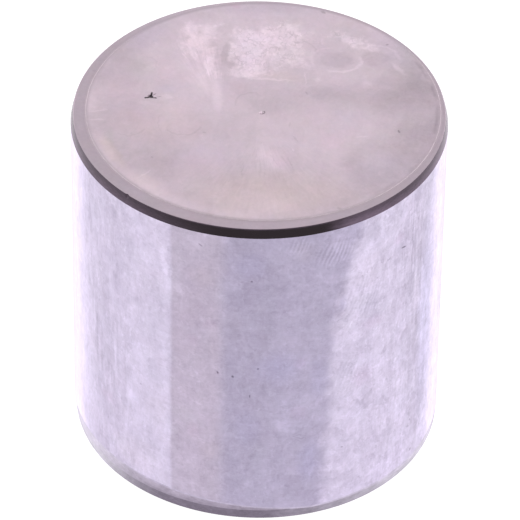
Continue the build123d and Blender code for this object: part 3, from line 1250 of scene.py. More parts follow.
@dataclass(frozen=True)
class SkirtFinish(Finish):
    """Matt, scuffed skirt: paler sides round a darker upright band in front, which is partly a finish zone
    and partly painted shade, a painted sheen at grazing angles, crossing strokes, rubbed streaks and a few
    pits.
    """

    name: str = "scuffed_skirt"
    roughness: float = 0.5
    colour: Triple = (0.631, 0.567, 0.715)
    # Colour of the darker band in front, partly a finish zone and partly painted shade.
    shade: Triple = (0.457, 0.408, 0.542)
    brown: Triple = (0.518, 0.454, 0.568)
    left_edge: float = -26.8
    right_edge: float = 22.5
    right_flare: float = 0.36
    flare_height: float = 4.0
    straight_wobble: float = 1.5
    ragged_wobble: float = 9.0
    brown_azimuths: Pair = (-13.0, -7.5)
    far_azimuths: Pair = (75.0, 95.0)
    ripple_lean: float = -0.35
    ripple_rate: float = 52.0
    # Painted sheen: how much lighter the colour grows at grazing angles, and over which facing values.
    sheen: float = 0.45
    painted_sheen_facing: Pair = (0.64, 0.84)
    dim_shift: Triple = (0.03, -0.03, 0.08)
    ripple_spots: Spots = (
        Spot(2.05, 8.95, 0.75, 0.55, core=0.3),
        Spot(1.1, 9.4, 0.45, 0.35, 0.8, core=0.3),
        Spot(3.0, 7.2, 0.8, 1.2, 0.4),
        Spot(2.6, 4.6, 0.6, 0.9, 0.35),
    )
    light_marks: Marks = (
        Spot(-2.5, 5.0, 0.14, 4.6, 0.05, core=0.3),
        Spot(-3.62, 7.15, 0.42, 0.75, 0.06, -8.0),
        Spot(-2.53, 8.35, 0.15, 0.7, 0.13, 6.0, 0.3),
        Spot(-2.4, 7.75, 0.12, 0.25, 0.06, core=0.3),
        Spot(-3.3, 9.05, 0.12, 0.55, 0.05),
        Spot(-4.0, 9.3, 0.05, 0.35, 0.05),
        Spot(-3.45, 1.05, 1.15, 0.5, 0.05, core=0.3),
        Spot(-2.62, 1.8, 0.24, 1.8, 0.06, core=0.3),
        Spot(-3.7, 3.4, 0.16, 0.55, 0.06),
        Spot(-2.45, 2.7, 0.18, 1.6, 0.04),
        Spot(-3.1, 5.15, 0.45, 0.3, 0.04, -20.0),
        Arc(-1.96, 7.58, 0.22, 0.26, 60.0, 0.55, 0.08, 0.3),
        Spot(-2.02, 7.62, 0.2, 0.22, 0.06, core=0.3),
        Spot(-1.7, 9.4, 0.32, 0.22, 0.07, 10.0, 0.3),
        Spot(-1.61, 5.0, 0.075, 0.09, 0.13, core=0.3),
        Spot(-1.53, 3.9, 0.06, 0.08, 0.11, core=0.3),
        Spot(-1.4, 2.55, 0.11, 0.07, 0.1, core=0.3),
        Spot(-1.85, 1.7, 0.32, 0.3, 0.06, -40.0),
        Spot(-1.0, 0.85, 0.45, 0.35, 0.05),
        Spot(-1.3, 6.4, 0.5, 0.12, 0.05, -20.0),
        Spot(-0.4, 7.1, 0.3, 0.25, 0.04),
        Spot(0.75, 3.3, 0.42, 0.5, 0.09, 20.0),
        Spot(1.3, 3.85, 0.4, 0.35, 0.06),
        Spot(2.3, 9.25, 0.6, 0.5, 0.05),
        Spot(4.3, 2.0, 0.4, 0.8, 0.06),
        Spot(0.05, 0.85, 0.05, 0.06, 0.14, core=0.3),
        Spot(3.1, 8.4, 0.32, 0.75, 0.13, -12.0, 0.4),
        Spot(3.3, 7.85, 0.85, 0.75, 0.07, core=0.3),
        Spot(2.45, 8.0, 0.32, 0.16, 0.09, -25.0, 0.3),
        Spot(2.45, 7.2, 0.06, 0.4, 0.07, -14.0),
        Spot(3.6, 5.7, 0.6, 0.3, 0.05),
        Spot(3.85, 4.9, 0.08, 0.7, 0.05, -5.0),
        Spot(2.45, 1.4, 0.3, 0.4, 0.06, 30.0),
        Spot(2.35, 0.8, 0.3, 0.22, 0.07),
        Spot(4.35, 2.6, 0.1, 1.2, 0.04),
    )
    dark_marks: Marks = (
        Spot(-2.86, 7.5, 0.26, 0.95, 0.06, 10.0, 0.3),
        Spot(-2.9, 5.9, 0.28, 0.7, 0.04, core=0.3),
        Spot(-2.6, 6.85, 0.55, 0.4, 0.04),
        Spot(-2.36, 8.6, 0.1, 1.0, 0.06, core=0.3),
        Spot(-4.2, 7.65, 0.4, 0.7, 0.04),
        Spot(-3.75, 6.2, 0.5, 0.3, 0.03),
        Spot(-3.75, 8.5, 0.4, 0.4, 0.03),
        Arc(-4.12, 2.66, 0.24, 0.27, 10.0, 0.5, 0.07, 0.2),
        Spot(-3.85, 4.45, 0.1, 0.5, 0.05),
        Spot(-2.95, 4.7, 0.45, 0.25, 0.03, 20.0),
        Spot(-2.15, 2.6, 0.24, 0.8, 0.05),
        Spot(-1.7, 7.95, 0.55, 0.6, 0.04, core=0.1),
        Spot(-1.45, 7.3, 0.4, 0.22, 0.06, core=0.1),
        Spot(0.1, 8.95, 0.95, 1.05, 0.06, core=0.3),
        Spot(-0.1, 7.9, 0.45, 0.5, 0.04),
        Spot(0.7, 8.1, 0.6, 0.4, 0.04),
        Spot(0.3, 6.3, 0.5, 0.6, 0.03),
        Spot(1.2, 2.9, 0.3, 0.035, 0.12, -4.0, 0.3),
        Spot(1.28, 2.8, 0.28, 0.03, 0.12, -8.0, 0.3),
        Spot(1.15, 2.7, 0.22, 0.03, 0.09, -12.0, 0.3),
        Spot(1.3, 2.05, 0.55, 0.55, 0.05),
        Spot(1.1, 1.1, 0.5, 0.4, 0.04),
        Spot(2.25, 7.15, 0.3, 0.35, 0.04, 10.0),
        Spot(2.7, 8.9, 0.16, 0.4, 0.05),
        Spot(3.6, 8.35, 0.1, 0.3, 0.05, 20.0),
        Spot(4.1, 9.3, 0.35, 0.4, 0.05, 20.0),
        Spot(3.2, 6.9, 0.45, 0.28, 0.05),
        Spot(5.2, 7.4, 0.16, 0.5, 0.06),
        Spot(5.2, 1.2, 0.35, 0.3, 0.05),
        Spot(3.9, 1.9, 0.5, 0.5, 0.03),
        Spot(-1.1, 9.2, 0.55, 0.6, 0.09),
        Spot(5.4, 2.0, 0.6, 1.3, 0.09),
    )
    broad: Spots = (
        Spot(-4.35, 5.0, 1.0, 9.0, 0.055, core=0.3),
        Spot(0.0, 5.5, 1.2, 7.0, 0.05, core=0.3),
        Spot(4.75, 6.5, 0.6, 6.0, 0.05, core=0.3),
        Spot(5.75, 5.0, 0.35, 9.0, 0.06, core=0.3),
    )
    scores: Spots = (
        Spot(-5.22, 5.0, 0.05, 1.4, 0.08, core=0.3),
        Spot(-5.08, 4.5, 0.05, 1.7, -0.1, core=0.3),
        Spot(-4.95, 3.9, 0.05, 1.4, 0.1, core=0.3),
        Spot(-4.84, 4.1, 0.04, 1.2, -0.09, core=0.3),
        Spot(-4.72, 3.2, 0.05, 0.6, 0.08, 4.0, 0.3),
        Spot(-4.46, 3.4, 0.05, 0.9, 0.07, 3.0, 0.3),
        Spot(-4.23, 4.3, 0.045, 1.4, 0.09, core=0.3),
        Spot(-4.13, 4.6, 0.035, 1.1, -0.07, core=0.3),
        Spot(-4.05, 5.4, 0.04, 0.5, 0.06, core=0.3),
        Spot(4.32, 7.75, 0.03, 0.4, -0.12, core=0.3),
        Spot(4.62, 8.6, 0.05, 1.2, 0.09, core=0.3),
        Spot(4.76, 8.0, 0.045, 2.2, -0.11, core=0.3),
        Spot(4.88, 7.6, 0.035, 2.4, -0.1, core=0.3),
        Spot(4.98, 6.6, 0.05, 2.4, 0.1, core=0.3),
        Spot(5.08, 4.6, 0.05, 1.8, -0.06, core=0.3),
        Spot(5.2, 7.2, 0.06, 1.2, -0.06, core=0.3),
        Spot(5.32, 6.0, 0.05, 1.8, 0.1, core=0.3),
    )
    specks: Spots = (
        Spot(-0.14, 8.29, 0.045, 0.045),
        Spot(-1.01, 5.09, 0.035, 0.07, 1.2, 25.0, 0.3),
        Spot(-0.61, 5.01, 0.05, 0.05, 1.2, core=0.3),
        Spot(-0.15, 4.36, 0.028, 0.08, core=0.3),
        Spot(0.06, 5.32, 0.05, 0.05),
        Spot(4.37, 8.06, 0.14, 0.04, 1.2, -12.0, 0.3),
        Spot(3.79, 7.97, 0.08, 0.035, 0.5, -12.0, 0.3),
        Spot(2.9, 7.87, 0.04, 0.04, 0.5, core=0.3),
        Spot(3.4, 7.56, 0.045, 0.04, 0.5, core=0.3),
        Spot(3.05, 7.93, 0.035, 0.04, 0.4, core=0.3),
        Spot(-3.28, 3.85, 0.05, 0.04, 0.5, 30.0, 0.3),
        Spot(-4.58, 1.85, 0.03, 0.09, 0.6, -15.0, 0.3),
        Spot(6.0, 6.83, 0.05, 0.06),
        Spot(-1.5, 9.32, 0.09, 0.035, 0.9, -35.0, 0.3),
        Spot(2.42, 2.13, 0.06, 0.035, 0.8, -20.0, 0.3),
        Spot(4.95, 1.68, 0.03, 0.05, 0.6, core=0.3),
        Spot(4.85, 1.5, 0.14, 0.05, 0.5, -35.0, 0.3),
        Spot(5.0, 0.55, 0.09, 0.06, 0.6, 20.0, 0.3),
        Spot(3.55, 1.6, 0.05, 0.1, 0.4, 10.0, 0.3),
    )
    warm: Spots = (
        Spot(-2.8, 3.2, 0.6, 0.7, 0.3),
        Spot(-3.5, 1.3, 1.2, 0.8, 0.3, core=0.3),
        Spot(-1.4, 8.2, 0.5, 0.5, 0.4),
        Spot(-1.2, 2.3, 0.5, 0.5, 0.4),
        Spot(3.3, 8.0, 1.0, 0.9, 0.2),
        Spot(1.3, 9.2, 0.5, 0.5, 0.4),
        Spot(-0.6, 6.8, 0.3, 0.8, 0.3),
    )
    green: Spots = (
        Spot(-3.4, 8.25, 0.35, 0.5, 0.3),
        Spot(2.9, 7.0, 0.6, 0.4, 0.6),
        Spot(2.45, 6.4, 0.3, 0.6, 0.5),
        Spot(-1.9, 3.4, 0.4, 0.4, 0.6),
        Spot(0.3, 7.6, 0.4, 0.7, 0.5),
        Spot(0.1, 2.4, 0.4, 0.9, 0.4),
    )
    blue: Spots = (
        Spot(0.6, 5.3, 0.9, 0.8),
        Spot(1.45, 1.9, 0.45, 1.0, 1.2),
        Spot(-0.2, 8.8, 0.6, 0.6, 0.8),
        Spot(-0.2, 3.2, 0.5, 0.9, 0.8),
        Spot(1.7, 4.8, 0.4, 1.0, 0.8),
        Spot(5.6, 5.0, 0.6, 5.0, 1.2),
        Spot(2.35, 7.1, 0.2, 0.3, 0.8),
    )
    rose: Spots = (
        Spot(-1.6, 5.0, 0.85, 5.2, 0.5, core=0.6),
        Spot(-1.2, 6.7, 0.3, 0.25),
        Spot(-1.7, 6.1, 0.25, 0.25, 0.9),
        Spot(-1.65, 2.9, 0.25, 0.4),
        Spot(-4.6, 2.6, 0.45, 0.3, 0.9, 20.0),
        Spot(1.15, 3.7, 0.35, 0.4),
        Spot(3.3, 6.1, 0.5, 0.3),
        Spot(4.2, 8.45, 0.3, 0.25),
        Spot(3.0, 4.4, 0.5, 0.5, 0.9),
        Spot(1.2, 5.4, 0.25, 0.3),
    )

    def bands(self, bench: Bench, wall: Sockets) -> tuple[Socket, Socket]:
        """Reads the broad upright bands of the skirt: the darker one in front, partly a finish zone and
        partly painted shade, and faint random ones behind.

        Args:
            bench: The material's bench.
            wall: The wall map.

        Returns:
            The share of the darker band's colour, which is partly painted shade, and the share of brown
            inside it.
        """
        solid, azimuth, height = wall["Solid"], wall["Azimuth"], wall["Height"]
        wobble = bench.swing(solid, 1.2, 4.0, 0.6)
        ragged = bench.calc("MULTIPLY_ADD", wobble, self.ragged_wobble, azimuth)
        straight = bench.calc("MULTIPLY_ADD", wobble, self.straight_wobble, azimuth)
        # The darker band in front, with crisp edges: partly a finish zone, partly painted shade on the
        # side that faces the front.
        left = bench.remap(straight, self.left_edge - 0.5, self.left_edge + 1.0)
        rise = bench.calc("MAXIMUM", bench.calc("SUBTRACT", height, self.flare_height), 0.0)
        curve = bench.calc("POWER", rise, 2.0)
        flare = bench.calc("MULTIPLY_ADD", curve, self.right_flare, self.right_edge)
        right = bench.remap(bench.calc("SUBTRACT", ragged, flare), -2.5, 2.0, 1.0, 0.0)
        front = bench.times(left, right)
        around = bench.vector("MULTIPLY", solid, (1.0, 1.0, 0.12))
        behind = bench.remap(bench.calc("ABSOLUTE", azimuth), *self.far_azimuths)
        other = bench.remap(bench.noise(around, 0.55, 3.0, 0.5), 0.46, 0.54, 0.0, 0.75)
        share = bench.calc("MAXIMUM", front, bench.times(other, behind))
        return share, bench.remap(straight, *self.brown_azimuths, 1.0, 0.0)

    def ripples(self, bench: Bench, point: Socket) -> Socket:
        """Close upright ripples, like a smudged fingerprint, near the top of the skirt.

        Args:
            bench: The material's bench.
            point: The point on the unrolled skirt.

        Returns:
            The ripples, about zero.
        """
        bent = bench.warp(point, 1.6, 0.22)
        across, height, _ = bench.split(bent)
        phase = bench.calc("MULTIPLY_ADD", height, self.ripple_lean, across)
        return bench.calc("SINE", bench.times(phase, self.ripple_rate))

    def wire(self, bench: Bench, shader: bpy.types.Node, effects: Effects) -> None:
        """Lays out what feeds the shader.

        Args:
            bench: The material's bench.
            shader: The Principled shader.
            effects: The shared groups.
        """
        wall = bench.effect(effects.wall_map, Radius=SKIRT_RADIUS)
        point, solid = wall["Point"], wall["Solid"]
        mottle = bench.effect(effects.mottle, Point=solid, Stretch=(1.0, 1.0, 0.7))
        strokes = bench.effect(effects.strokes, Point=solid)
        drips = bench.effect(effects.scuffs, Point=solid, Stretch=(1.9, 1.9, 0.42), Width=0.06)
        scuffs = bench.effect(effects.scuffs, Point=solid, Stretch=(1.2, 1.2, 1.2), Width=0.05)
        flecks = bench.effect(effects.flecks, Point=solid, Stretch=(1.05, 1.05, 0.85))
        dashes = bench.effect(effects.scuffs, Point=solid, Stretch=(0.8, 0.8, 2.0), Width=0.05)
        shade, brown = self.bands(bench, wall)
        ragged = bench.warp(point, 3.4, 0.34)
        specks = effects.marks(bench, bench.warp(point, 9.0, 0.05), self.specks)
        pits = bench.effect(effects.pinpricks, Point=solid, Spread=1.1, Size=0.045, Share=0.25)
        ripple_share = effects.marks(bench, ragged, self.ripple_spots)
        turned = bench.calc("ABSOLUTE", wall["Azimuth"])
        upright = bench.remap(turned, 25.0, 50.0, 0.35, 1.0)
        rough_side = bench.remap(wall["Azimuth"], 15.0, 35.0, 1.0, 1.5)
        level = bench.calc("SUBTRACT", 1.35, upright)
        # Painted sheen: the colour grows lighter at grazing angles.
        facing = bench.add("ShaderNodeLayerWeight").outputs["Facing"]
        painted_sheen_share = bench.remap(facing, *self.painted_sheen_facing)
        tone = bench.total(
            (mottle["Cloud"], 0.12),
            (mottle["Blotch"], 0.08),
            (mottle["Grain"], 0.035),
            (strokes["Level"], 0.020),
            (bench.times(flecks["Level"], rough_side), 0.050),
            (bench.times(drips["Lines"], upright), 0.070),
            (bench.times(drips["Patches"], upright), 0.055),
            (scuffs["Lines"], 0.040),
            (bench.times(scuffs["Patches"], rough_side), 0.042),
            (bench.times(dashes["Lines"], level), 0.045),
            (bench.times(dashes["Patches"], level), 0.020),
            (painted_sheen_share, self.sheen),
            (effects.marks(bench, point, self.broad), -1.0),
            (effects.marks(bench, ragged, self.light_marks), 1.0),
            (effects.marks(bench, ragged, self.dark_marks), -1.0),
            (effects.marks(bench, bench.warp(point, 1.5, 0.12), self.scores), 1.0),
            (bench.times(self.ripples(bench, point), ripple_share), 0.115),
            (specks, -0.42),
            (pits["Mask"], -0.25),
            start=1.0,
        )
        dull = bench.blend(brown, self.shade, self.brown)
        tint = bench.blend(shade, self.colour, dull)
        dim = bench.remap(tone, 1.0, 0.7, 0.0, 0.3, smooth=False)
        tint = self.hue(bench, tint, [(dim, self.dim_shift), *self.stains(bench, effects, ragged)])
        patches = bench.effect(effects.tints, Point=solid, Amount=0.018)
        self.paint(bench, shader, bench.vector("MULTIPLY", tint, patches["Colour"]), tone)
        height_map = bench.total((mottle["Grain"], 1.0), (strokes["Level"], 0.15), (specks, -2.0))
        self.relief(bench, shader, height_map, 0.003)


@dataclass(frozen=True)
class FootFinish(Finish):
    """Mottled strip round the foot of the skirt, darkest in front and paler towards both sides, with a low
    colour below and a high one above. On the run-out and the lower chamfer this is partly a darker finish
    and partly painted shade; on the skirt lip it is a painted highlight.
    """

    name: str = "foot"
    low: Triple = (0.43, 0.37, 0.475)
    high: Triple = (0.57, 0.505, 0.62)
    pale: Triple = (0.62, 0.57, 0.68)
    left: Pair = (-28.0, -64.0)
    right: Pair = (3.0, 62.0)
    far_azimuths: Pair = (85.0, 110.0)
    upper_heights: Pair = (0.36, 0.56)
    roughness: float = 0.45

    def wire(self, bench: Bench, shader: bpy.types.Node, effects: Effects) -> None:
        """Lays out what feeds the shader.

        Args:
            bench: The material's bench.
            shader: The Principled shader.
            effects: The shared groups.
        """
        wall = bench.effect(effects.wall_map, Radius=SKIRT_RADIUS)
        mottle = bench.effect(effects.mottle, Point=wall["Solid"], Stretch=(1.0, 1.0, 1.6))
        scuffs = bench.effect(effects.scuffs, Point=wall["Solid"], Stretch=(1.3, 1.3, 2.0), Width=0.06)
        ragged = bench.calc("MULTIPLY_ADD", mottle["Blotch"], 0.30, wall["Height"])
        upper = bench.remap(ragged, *self.upper_heights)
        wobble = bench.calc("MULTIPLY_ADD", mottle["Blotch"], 14.0, wall["Azimuth"])
        right = bench.remap(wobble, *self.right, smooth=False)
        side = bench.calc("MAXIMUM", bench.remap(wobble, *self.left), right)
        behind = bench.remap(bench.calc("ABSOLUTE", wobble), *self.far_azimuths, 1.0, 0.3)
        tone = bench.total(
            (mottle["Blotch"], 0.35),
            (mottle["Grain"], 0.35),
            (scuffs["Lines"], 0.10),
            (scuffs["Patches"], 0.07),
            start=1.0,
        )
        # Painted shade in front, giving way to the paler side colour towards both sides, with the low
        # colour below the high one.
        tint = bench.blend(upper, self.low, self.high)
        tint = bench.blend(bench.times(side, behind), tint, self.pale)
        self.paint(bench, shader, tint, tone)


@dataclass(frozen=True)
class RimFinish(Finish):
    """Faced rim that the cup stands on: fine turning rings."""

    name: str = "rim"
    roughness: float = 0.38
    colour: Triple = (0.50, 0.47, 0.52)

    def wire(self, bench: Bench, shader: bpy.types.Node, effects: Effects) -> None:
        """Lays out what feeds the shader.

        Args:
            bench: The material's bench.
            shader: The Principled shader.
            effects: The shared groups.
        """
        disc = bench.effect(effects.disc_map, Centre=(0.0, 0.0, 0.0), Along=22.0, Across=1.5)
        mottle = bench.effect(effects.mottle, Point=disc["Point"])
        turned = bench.swing(disc["Spoke"], 1.0, 2.0, 0.6)
        tone = bench.total((mottle["Blotch"], 0.3), (mottle["Grain"], 0.2), (turned, 0.35), start=1.0)
        self.paint(bench, shader, self.colour, tone)
        self.relief(bench, shader, turned, 0.004)


@dataclass(frozen=True)
class BoreFinish(Finish):
    """Bore for the stem: bored wall with rings, darker and oily."""

    name: str = "bore"
    roughness: float = 0.34
    colour: Triple = (0.36, 0.34, 0.36)
    radius: float = 3.5

    def wire(self, bench: Bench, shader: bpy.types.Node, effects: Effects) -> None:
        """Lays out what feeds the shader.

        Args:
            bench: The material's bench.
            shader: The Principled shader.
            effects: The shared groups.
        """
        wall = bench.effect(effects.wall_map, Radius=self.radius)
        mottle = bench.effect(effects.mottle, Point=wall["Solid"])
        rings = bench.effect(effects.mottle, Point=wall["Solid"], Stretch=(0.12, 0.12, 1.6))
        tone = bench.total(
            (mottle["Cloud"], 0.4),
            (mottle["Blotch"], 0.3),
            (rings["Grain"], 0.5),
            start=1.0,
        )
        self.paint(bench, shader, self.colour, tone)
        self.relief(bench, shader, rings["Grain"], 0.006)


@dataclass(frozen=True)
class Relief:
    """Off-centre cone that bites into the foot of the skirt, deepest at one azimuth."""

    low_radius: float
    slope: float
    offset: float
    azimuth: float = -45.0

    def radius(self, azimuths: np.ndarray, height: Measure) -> np.ndarray:
        """Distance of the cone from the cup's axis.

        Args:
            azimuths: The azimuths, in radians.
            height: Height above the rim, one for all or one for each azimuth.

        Returns:
            The distance at each azimuth.
        """
        turn = azimuths - math.radians(self.azimuth + 180.0)
        sideways = self.offset * np.sin(turn)
        cone = self.low_radius + self.slope * height
        return self.offset * np.cos(turn) + np.sqrt(cone**2 - sideways**2)

    def top(self, azimuths: np.ndarray, skirt_radius: float) -> np.ndarray:
        """Height at each azimuth where the cone meets the skirt, below zero where it doesn't."""
        return (skirt_radius - self.radius(azimuths, 0.0)) / self.slope


@dataclass(frozen=True)
class Ring:
    """A closed line of points round the cup, and the zone of the faces from it to the next one."""

    points: np.ndarray
    zone: Zone


@dataclass
class ShimCup:
    """Closed-top steel cup: ground face, edge bevel, skirt with its run-out, rim and stem bore."""

    radius: float = SKIRT_RADIUS
    height: float = 10.0
    edge_break: float = 0.013
    bevel_height: float = 0.267
    bevel_width: float = 0.065
    land_width: float = 0.235
    disc_rise: float = 0.015
    disc_break: float = 0.008
    edge_margin: float = 0.05
    disc_centre: Pair = DISC_CENTRE
    runout: Relief = Relief(low_radius=5.006, slope=0.11, offset=0.072)
    lower_chamfer: Relief = Relief(low_radius=4.986, slope=0.056, offset=0.0)
    dark_azimuths: tuple[float, ...] = (-80.0, -60.0, 12.0, 55.0, 110.0)
    dark_heights: tuple[float, ...] = (0.12, 0.30, 0.31, 0.16, 0.12)
    # Height of the strip above the run-out that carries a painted highlight.
    lip_highlight_height: float = 0.05
    foot_break: float = 0.012
    bore_radius: float = BORE_RADIUS
    bore_depth: float = 7.0
    mouth_chamfer: float = 0.3
    floor_round: float = 0.3
    mark_centre: Pair = (0.06, -0.03)
    mark_radius: float = 0.07
    mark_depth: float = 0.05
    pit_centre: Pair = (-2.89, 0.62)
    pit_arms: tuple[Pair, ...] = ((75.0, 0.10), (200.0, 0.11), (325.0, 0.10), (30.0, 0.08))
    pit_depth: float = 0.05
    nick_azimuth: float = -43.4
    nick_radius: float = 0.09
    nick_bite: float = 0.03
    even_columns: int = 360
    nick_columns: Pair = (1.35, 0.15)
    pit_columns: Pair = (3.75, 0.25)
    mark_reaches: tuple[float, ...] = (
        *(0.01, 0.02, 0.03, 0.04, 0.05, 0.06, 0.07, 0.08),
        *(0.10, 0.13, 0.17, 0.22, 0.28, 0.35, 0.45),
    )
    plain_start: float = 0.6
    plain_step: float = 0.14
    pit_clearance: float = 0.25
    close_reach: float = 0.2
    close_step: float = 0.0125
    shift_start: float = 0.1
    shift_length: float = 1.5
    land_shares: tuple[float, ...] = (0.0, 0.04, 0.2, 0.4, 0.6, 0.8, 0.95)
    bevel_shares: tuple[float, ...] = (0.04, 0.2, 0.4, 0.6, 0.8, 0.96)
    level_height: float = 1.2
    level_rows: int = 40
    lowering_shares: tuple[float, ...] = (0.75, 0.5, 0.3, 0.15)
    least_runout: float = 0.01
    runout_shares: tuple[float, ...] = (1.0, 0.96, 0.85, 0.7, 0.55, 0.4, 0.25, 0.1)
    chamfer_shares: tuple[float, ...] = (1.0, 0.85, 0.7, 0.55, 0.4, 0.25, 0.1)
    rim_reaches: tuple[float, ...] = (4.6, 4.3, 4.0)
    bore_rows: int = 10
    floor_reaches: tuple[float, ...] = (2.4, 1.6, 0.8, 0.3)
    arm_width: float = 0.045
    arm_taper: float = 0.6
    arm_rise: float = 0.5
    sharp_angle: float = 5.0
    azimuths: np.ndarray = field(init=False, repr=False)

    def __post_init__(self) -> None:
        """Spaces the columns of points, closer together beside the nick and the pit."""
        pit_x, pit_y = self.pit_offset()
        pit_azimuth = math.degrees(math.atan2(pit_x, -pit_y))
        even = np.arange(self.even_columns) * (360.0 / self.even_columns) - 180.0
        close = []
        places = {self.nick_azimuth: self.nick_columns, pit_azimuth: self.pit_columns}
        for middle, (reach, step) in places.items():
            even = even[np.abs(even - middle) > reach + step]
            close.append(np.arange(middle - reach, middle + reach + step / 2, step))
        self.azimuths = np.radians(np.sort(np.concatenate([even, *close])))

    def pit_offset(self) -> Pair:
        """Where the pit lies from the middle of the disc."""
        return self.pit_centre[0] - self.disc_centre[0], self.pit_centre[1] - self.disc_centre[1]

    def circle(self, radius: Measure, height: Measure, centre: Pair = (0.0, 0.0)) -> np.ndarray:
        """Points at every azimuth.

        Args:
            radius: Distance from the centre, one for all or one for each azimuth.
            height: Height above the rim, one for all or one for each azimuth.
            centre: Where the centre lies.

        Returns:
            An array of points, one row each.
        """
        across = centre[0] + radius * np.sin(self.azimuths)
        depth = centre[1] - radius * np.cos(self.azimuths)
        return np.stack(np.broadcast_arrays(across, depth, np.asarray(height, float)), axis=1)

    def face_rings(self) -> Iterator[Ring]:
        """Rings of the ground disc, from the turning mark out to the disc's edge.

        Returns:
            The rings in order.
        """
        disc_radius = self.radius - self.bevel_width - self.land_width
        pit_reach = math.hypot(*self.pit_offset())
        plain = np.arange(self.plain_start, disc_radius - self.edge_margin, self.plain_step)
        plain = plain[np.abs(plain - pit_reach) > self.pit_clearance]
        close = np.arange(pit_reach - self.close_reach, pit_reach + self.close_reach, self.close_step)
        edge = [disc_radius - self.edge_margin, disc_radius - self.disc_break]
        for reach in sorted([*self.mark_reaches, *plain, *close, *edge]):
            share = min(max((reach - self.shift_start) / self.shift_length, 0.0), 1.0)
            share = share * share * (3.0 - 2.0 * share)
            centre = tuple(m + (d - m) * share for m, d in zip(self.mark_centre, self.disc_centre))
            zone = Zone.DISC_STEP if reach == edge[1] else Zone.GROUND_FACE
            yield Ring(self.circle(reach, self.height, centre), zone)
        reach = disc_radius + self.disc_break
        yield Ring(self.circle(reach, self.height - self.disc_rise, self.disc_centre), Zone.GROUND_FACE)

    def land_rings(self) -> Iterator[Ring]:
        """Rings of the unground land, from the foot of the disc out to the bevel.

        Returns:
            The rings in order.
        """
        inside = self.radius - self.bevel_width - self.land_width + self.edge_margin
        outside = self.radius - self.bevel_width - self.edge_break
        level = self.height - self.disc_rise
        for share in self.land_shares:
            centre = tuple(c * (1.0 - share) for c in self.disc_centre)
            yield Ring(self.circle(inside + (outside - inside) * share, level, centre), Zone.FACE_LAND)
        yield Ring(self.circle(outside, level), Zone.FACE_LAND)

    def bevel_rings(self) -> Iterator[Ring]:
        """Rings of the steep bevel, with its upper edge a little broken.

        Returns:
            The rings in order.
        """
        top = self.height - self.disc_rise
        edge = self.radius - self.bevel_width
        inset = self.edge_break * 0.3
        yield Ring(self.circle(edge - inset, top - inset), Zone.EDGE_BEVEL)
        for share in self.bevel_shares:
            out, level = edge + self.bevel_width * share, top - self.bevel_height * share
            yield Ring(self.circle(out, level), Zone.EDGE_BEVEL)

    def skirt_rings(self) -> Iterator[Ring]:
        """Rings of the skirt, the strip above the run-out that carries a painted highlight, the run-out
        and the lower chamfer.

        Returns:
            The rings in order.
        """
        top = self.height - self.disc_rise - self.bevel_height
        around = self.azimuths
        chamfer_top = self.lower_chamfer.top(around, self.radius)
        meeting = np.maximum(chamfer_top, self.runout.top(around, self.radius))
        dark = np.interp(np.degrees(around), self.dark_azimuths, self.dark_heights)
        dark = np.minimum(dark, meeting - self.least_runout)
        for level in np.linspace(top, self.level_height, self.level_rows):
            yield Ring(self.circle(self.radius, level), Zone.SKIRT)
        for share in self.lowering_shares:
            level = meeting + (self.level_height - meeting) * share
            yield Ring(self.circle(self.radius, level), Zone.SKIRT)
        yield Ring(self.circle(self.radius, meeting + self.lip_highlight_height), Zone.SKIRT_LIP)
        for share in self.runout_shares:
            level = dark + (meeting - dark) * share
            yield Ring(self.circle(self.cut(level), level), Zone.RUNOUT)
        for share in self.chamfer_shares:
            level = self.foot_break + (dark - self.foot_break) * share
            yield Ring(self.circle(self.cut(level), level), Zone.LOWER_CHAMFER)
        for share, zone in ((0.0, Zone.LOWER_CHAMFER), (0.5, Zone.LOWER_CHAMFER), (1.0, Zone.RIM)):
            turn = math.radians(90.0 * share)
            out = self.cut(self.foot_break) - self.foot_break * (1.0 - math.cos(turn))
            yield Ring(self.circle(out, self.foot_break * (1.0 - math.sin(turn))), zone)

    def cut(self, level: Measure) -> np.ndarray:
        """Radius at each azimuth where the chamfer and the run-out leave it, at one height or one each."""
        chamfer = self.lower_chamfer.radius(self.azimuths, level)
        return np.minimum(self.radius, np.minimum(chamfer, self.runout.radius(self.azimuths, level)))

    def bore_rings(self) -> Iterator[Ring]:
        """Rings of the rim, the mouth chamfer, the bore wall and the bore floor.

        Returns:
            The rings in order.
        """
        mouth = self.bore_radius + self.mouth_chamfer
        for out in self.rim_reaches:
            yield Ring(self.circle(out, 0.0), Zone.RIM)
        yield Ring(self.circle(mouth, 0.0), Zone.BORE)
        for level in np.linspace(self.mouth_chamfer, self.bore_depth - self.floor_round, self.bore_rows):
            yield Ring(self.circle(self.bore_radius, level), Zone.BORE)
        for step in range(1, self.bore_rows + 1):
            turn = math.radians(90.0 / self.bore_rows * step)
            out = self.bore_radius - self.floor_round * (1.0 - math.cos(turn))
            level = self.bore_depth - self.floor_round * (1.0 - math.sin(turn))
            yield Ring(self.circle(out, level), Zone.BORE)
        for out in self.floor_reaches:
            yield Ring(self.circle(out, self.bore_depth), Zone.BORE)

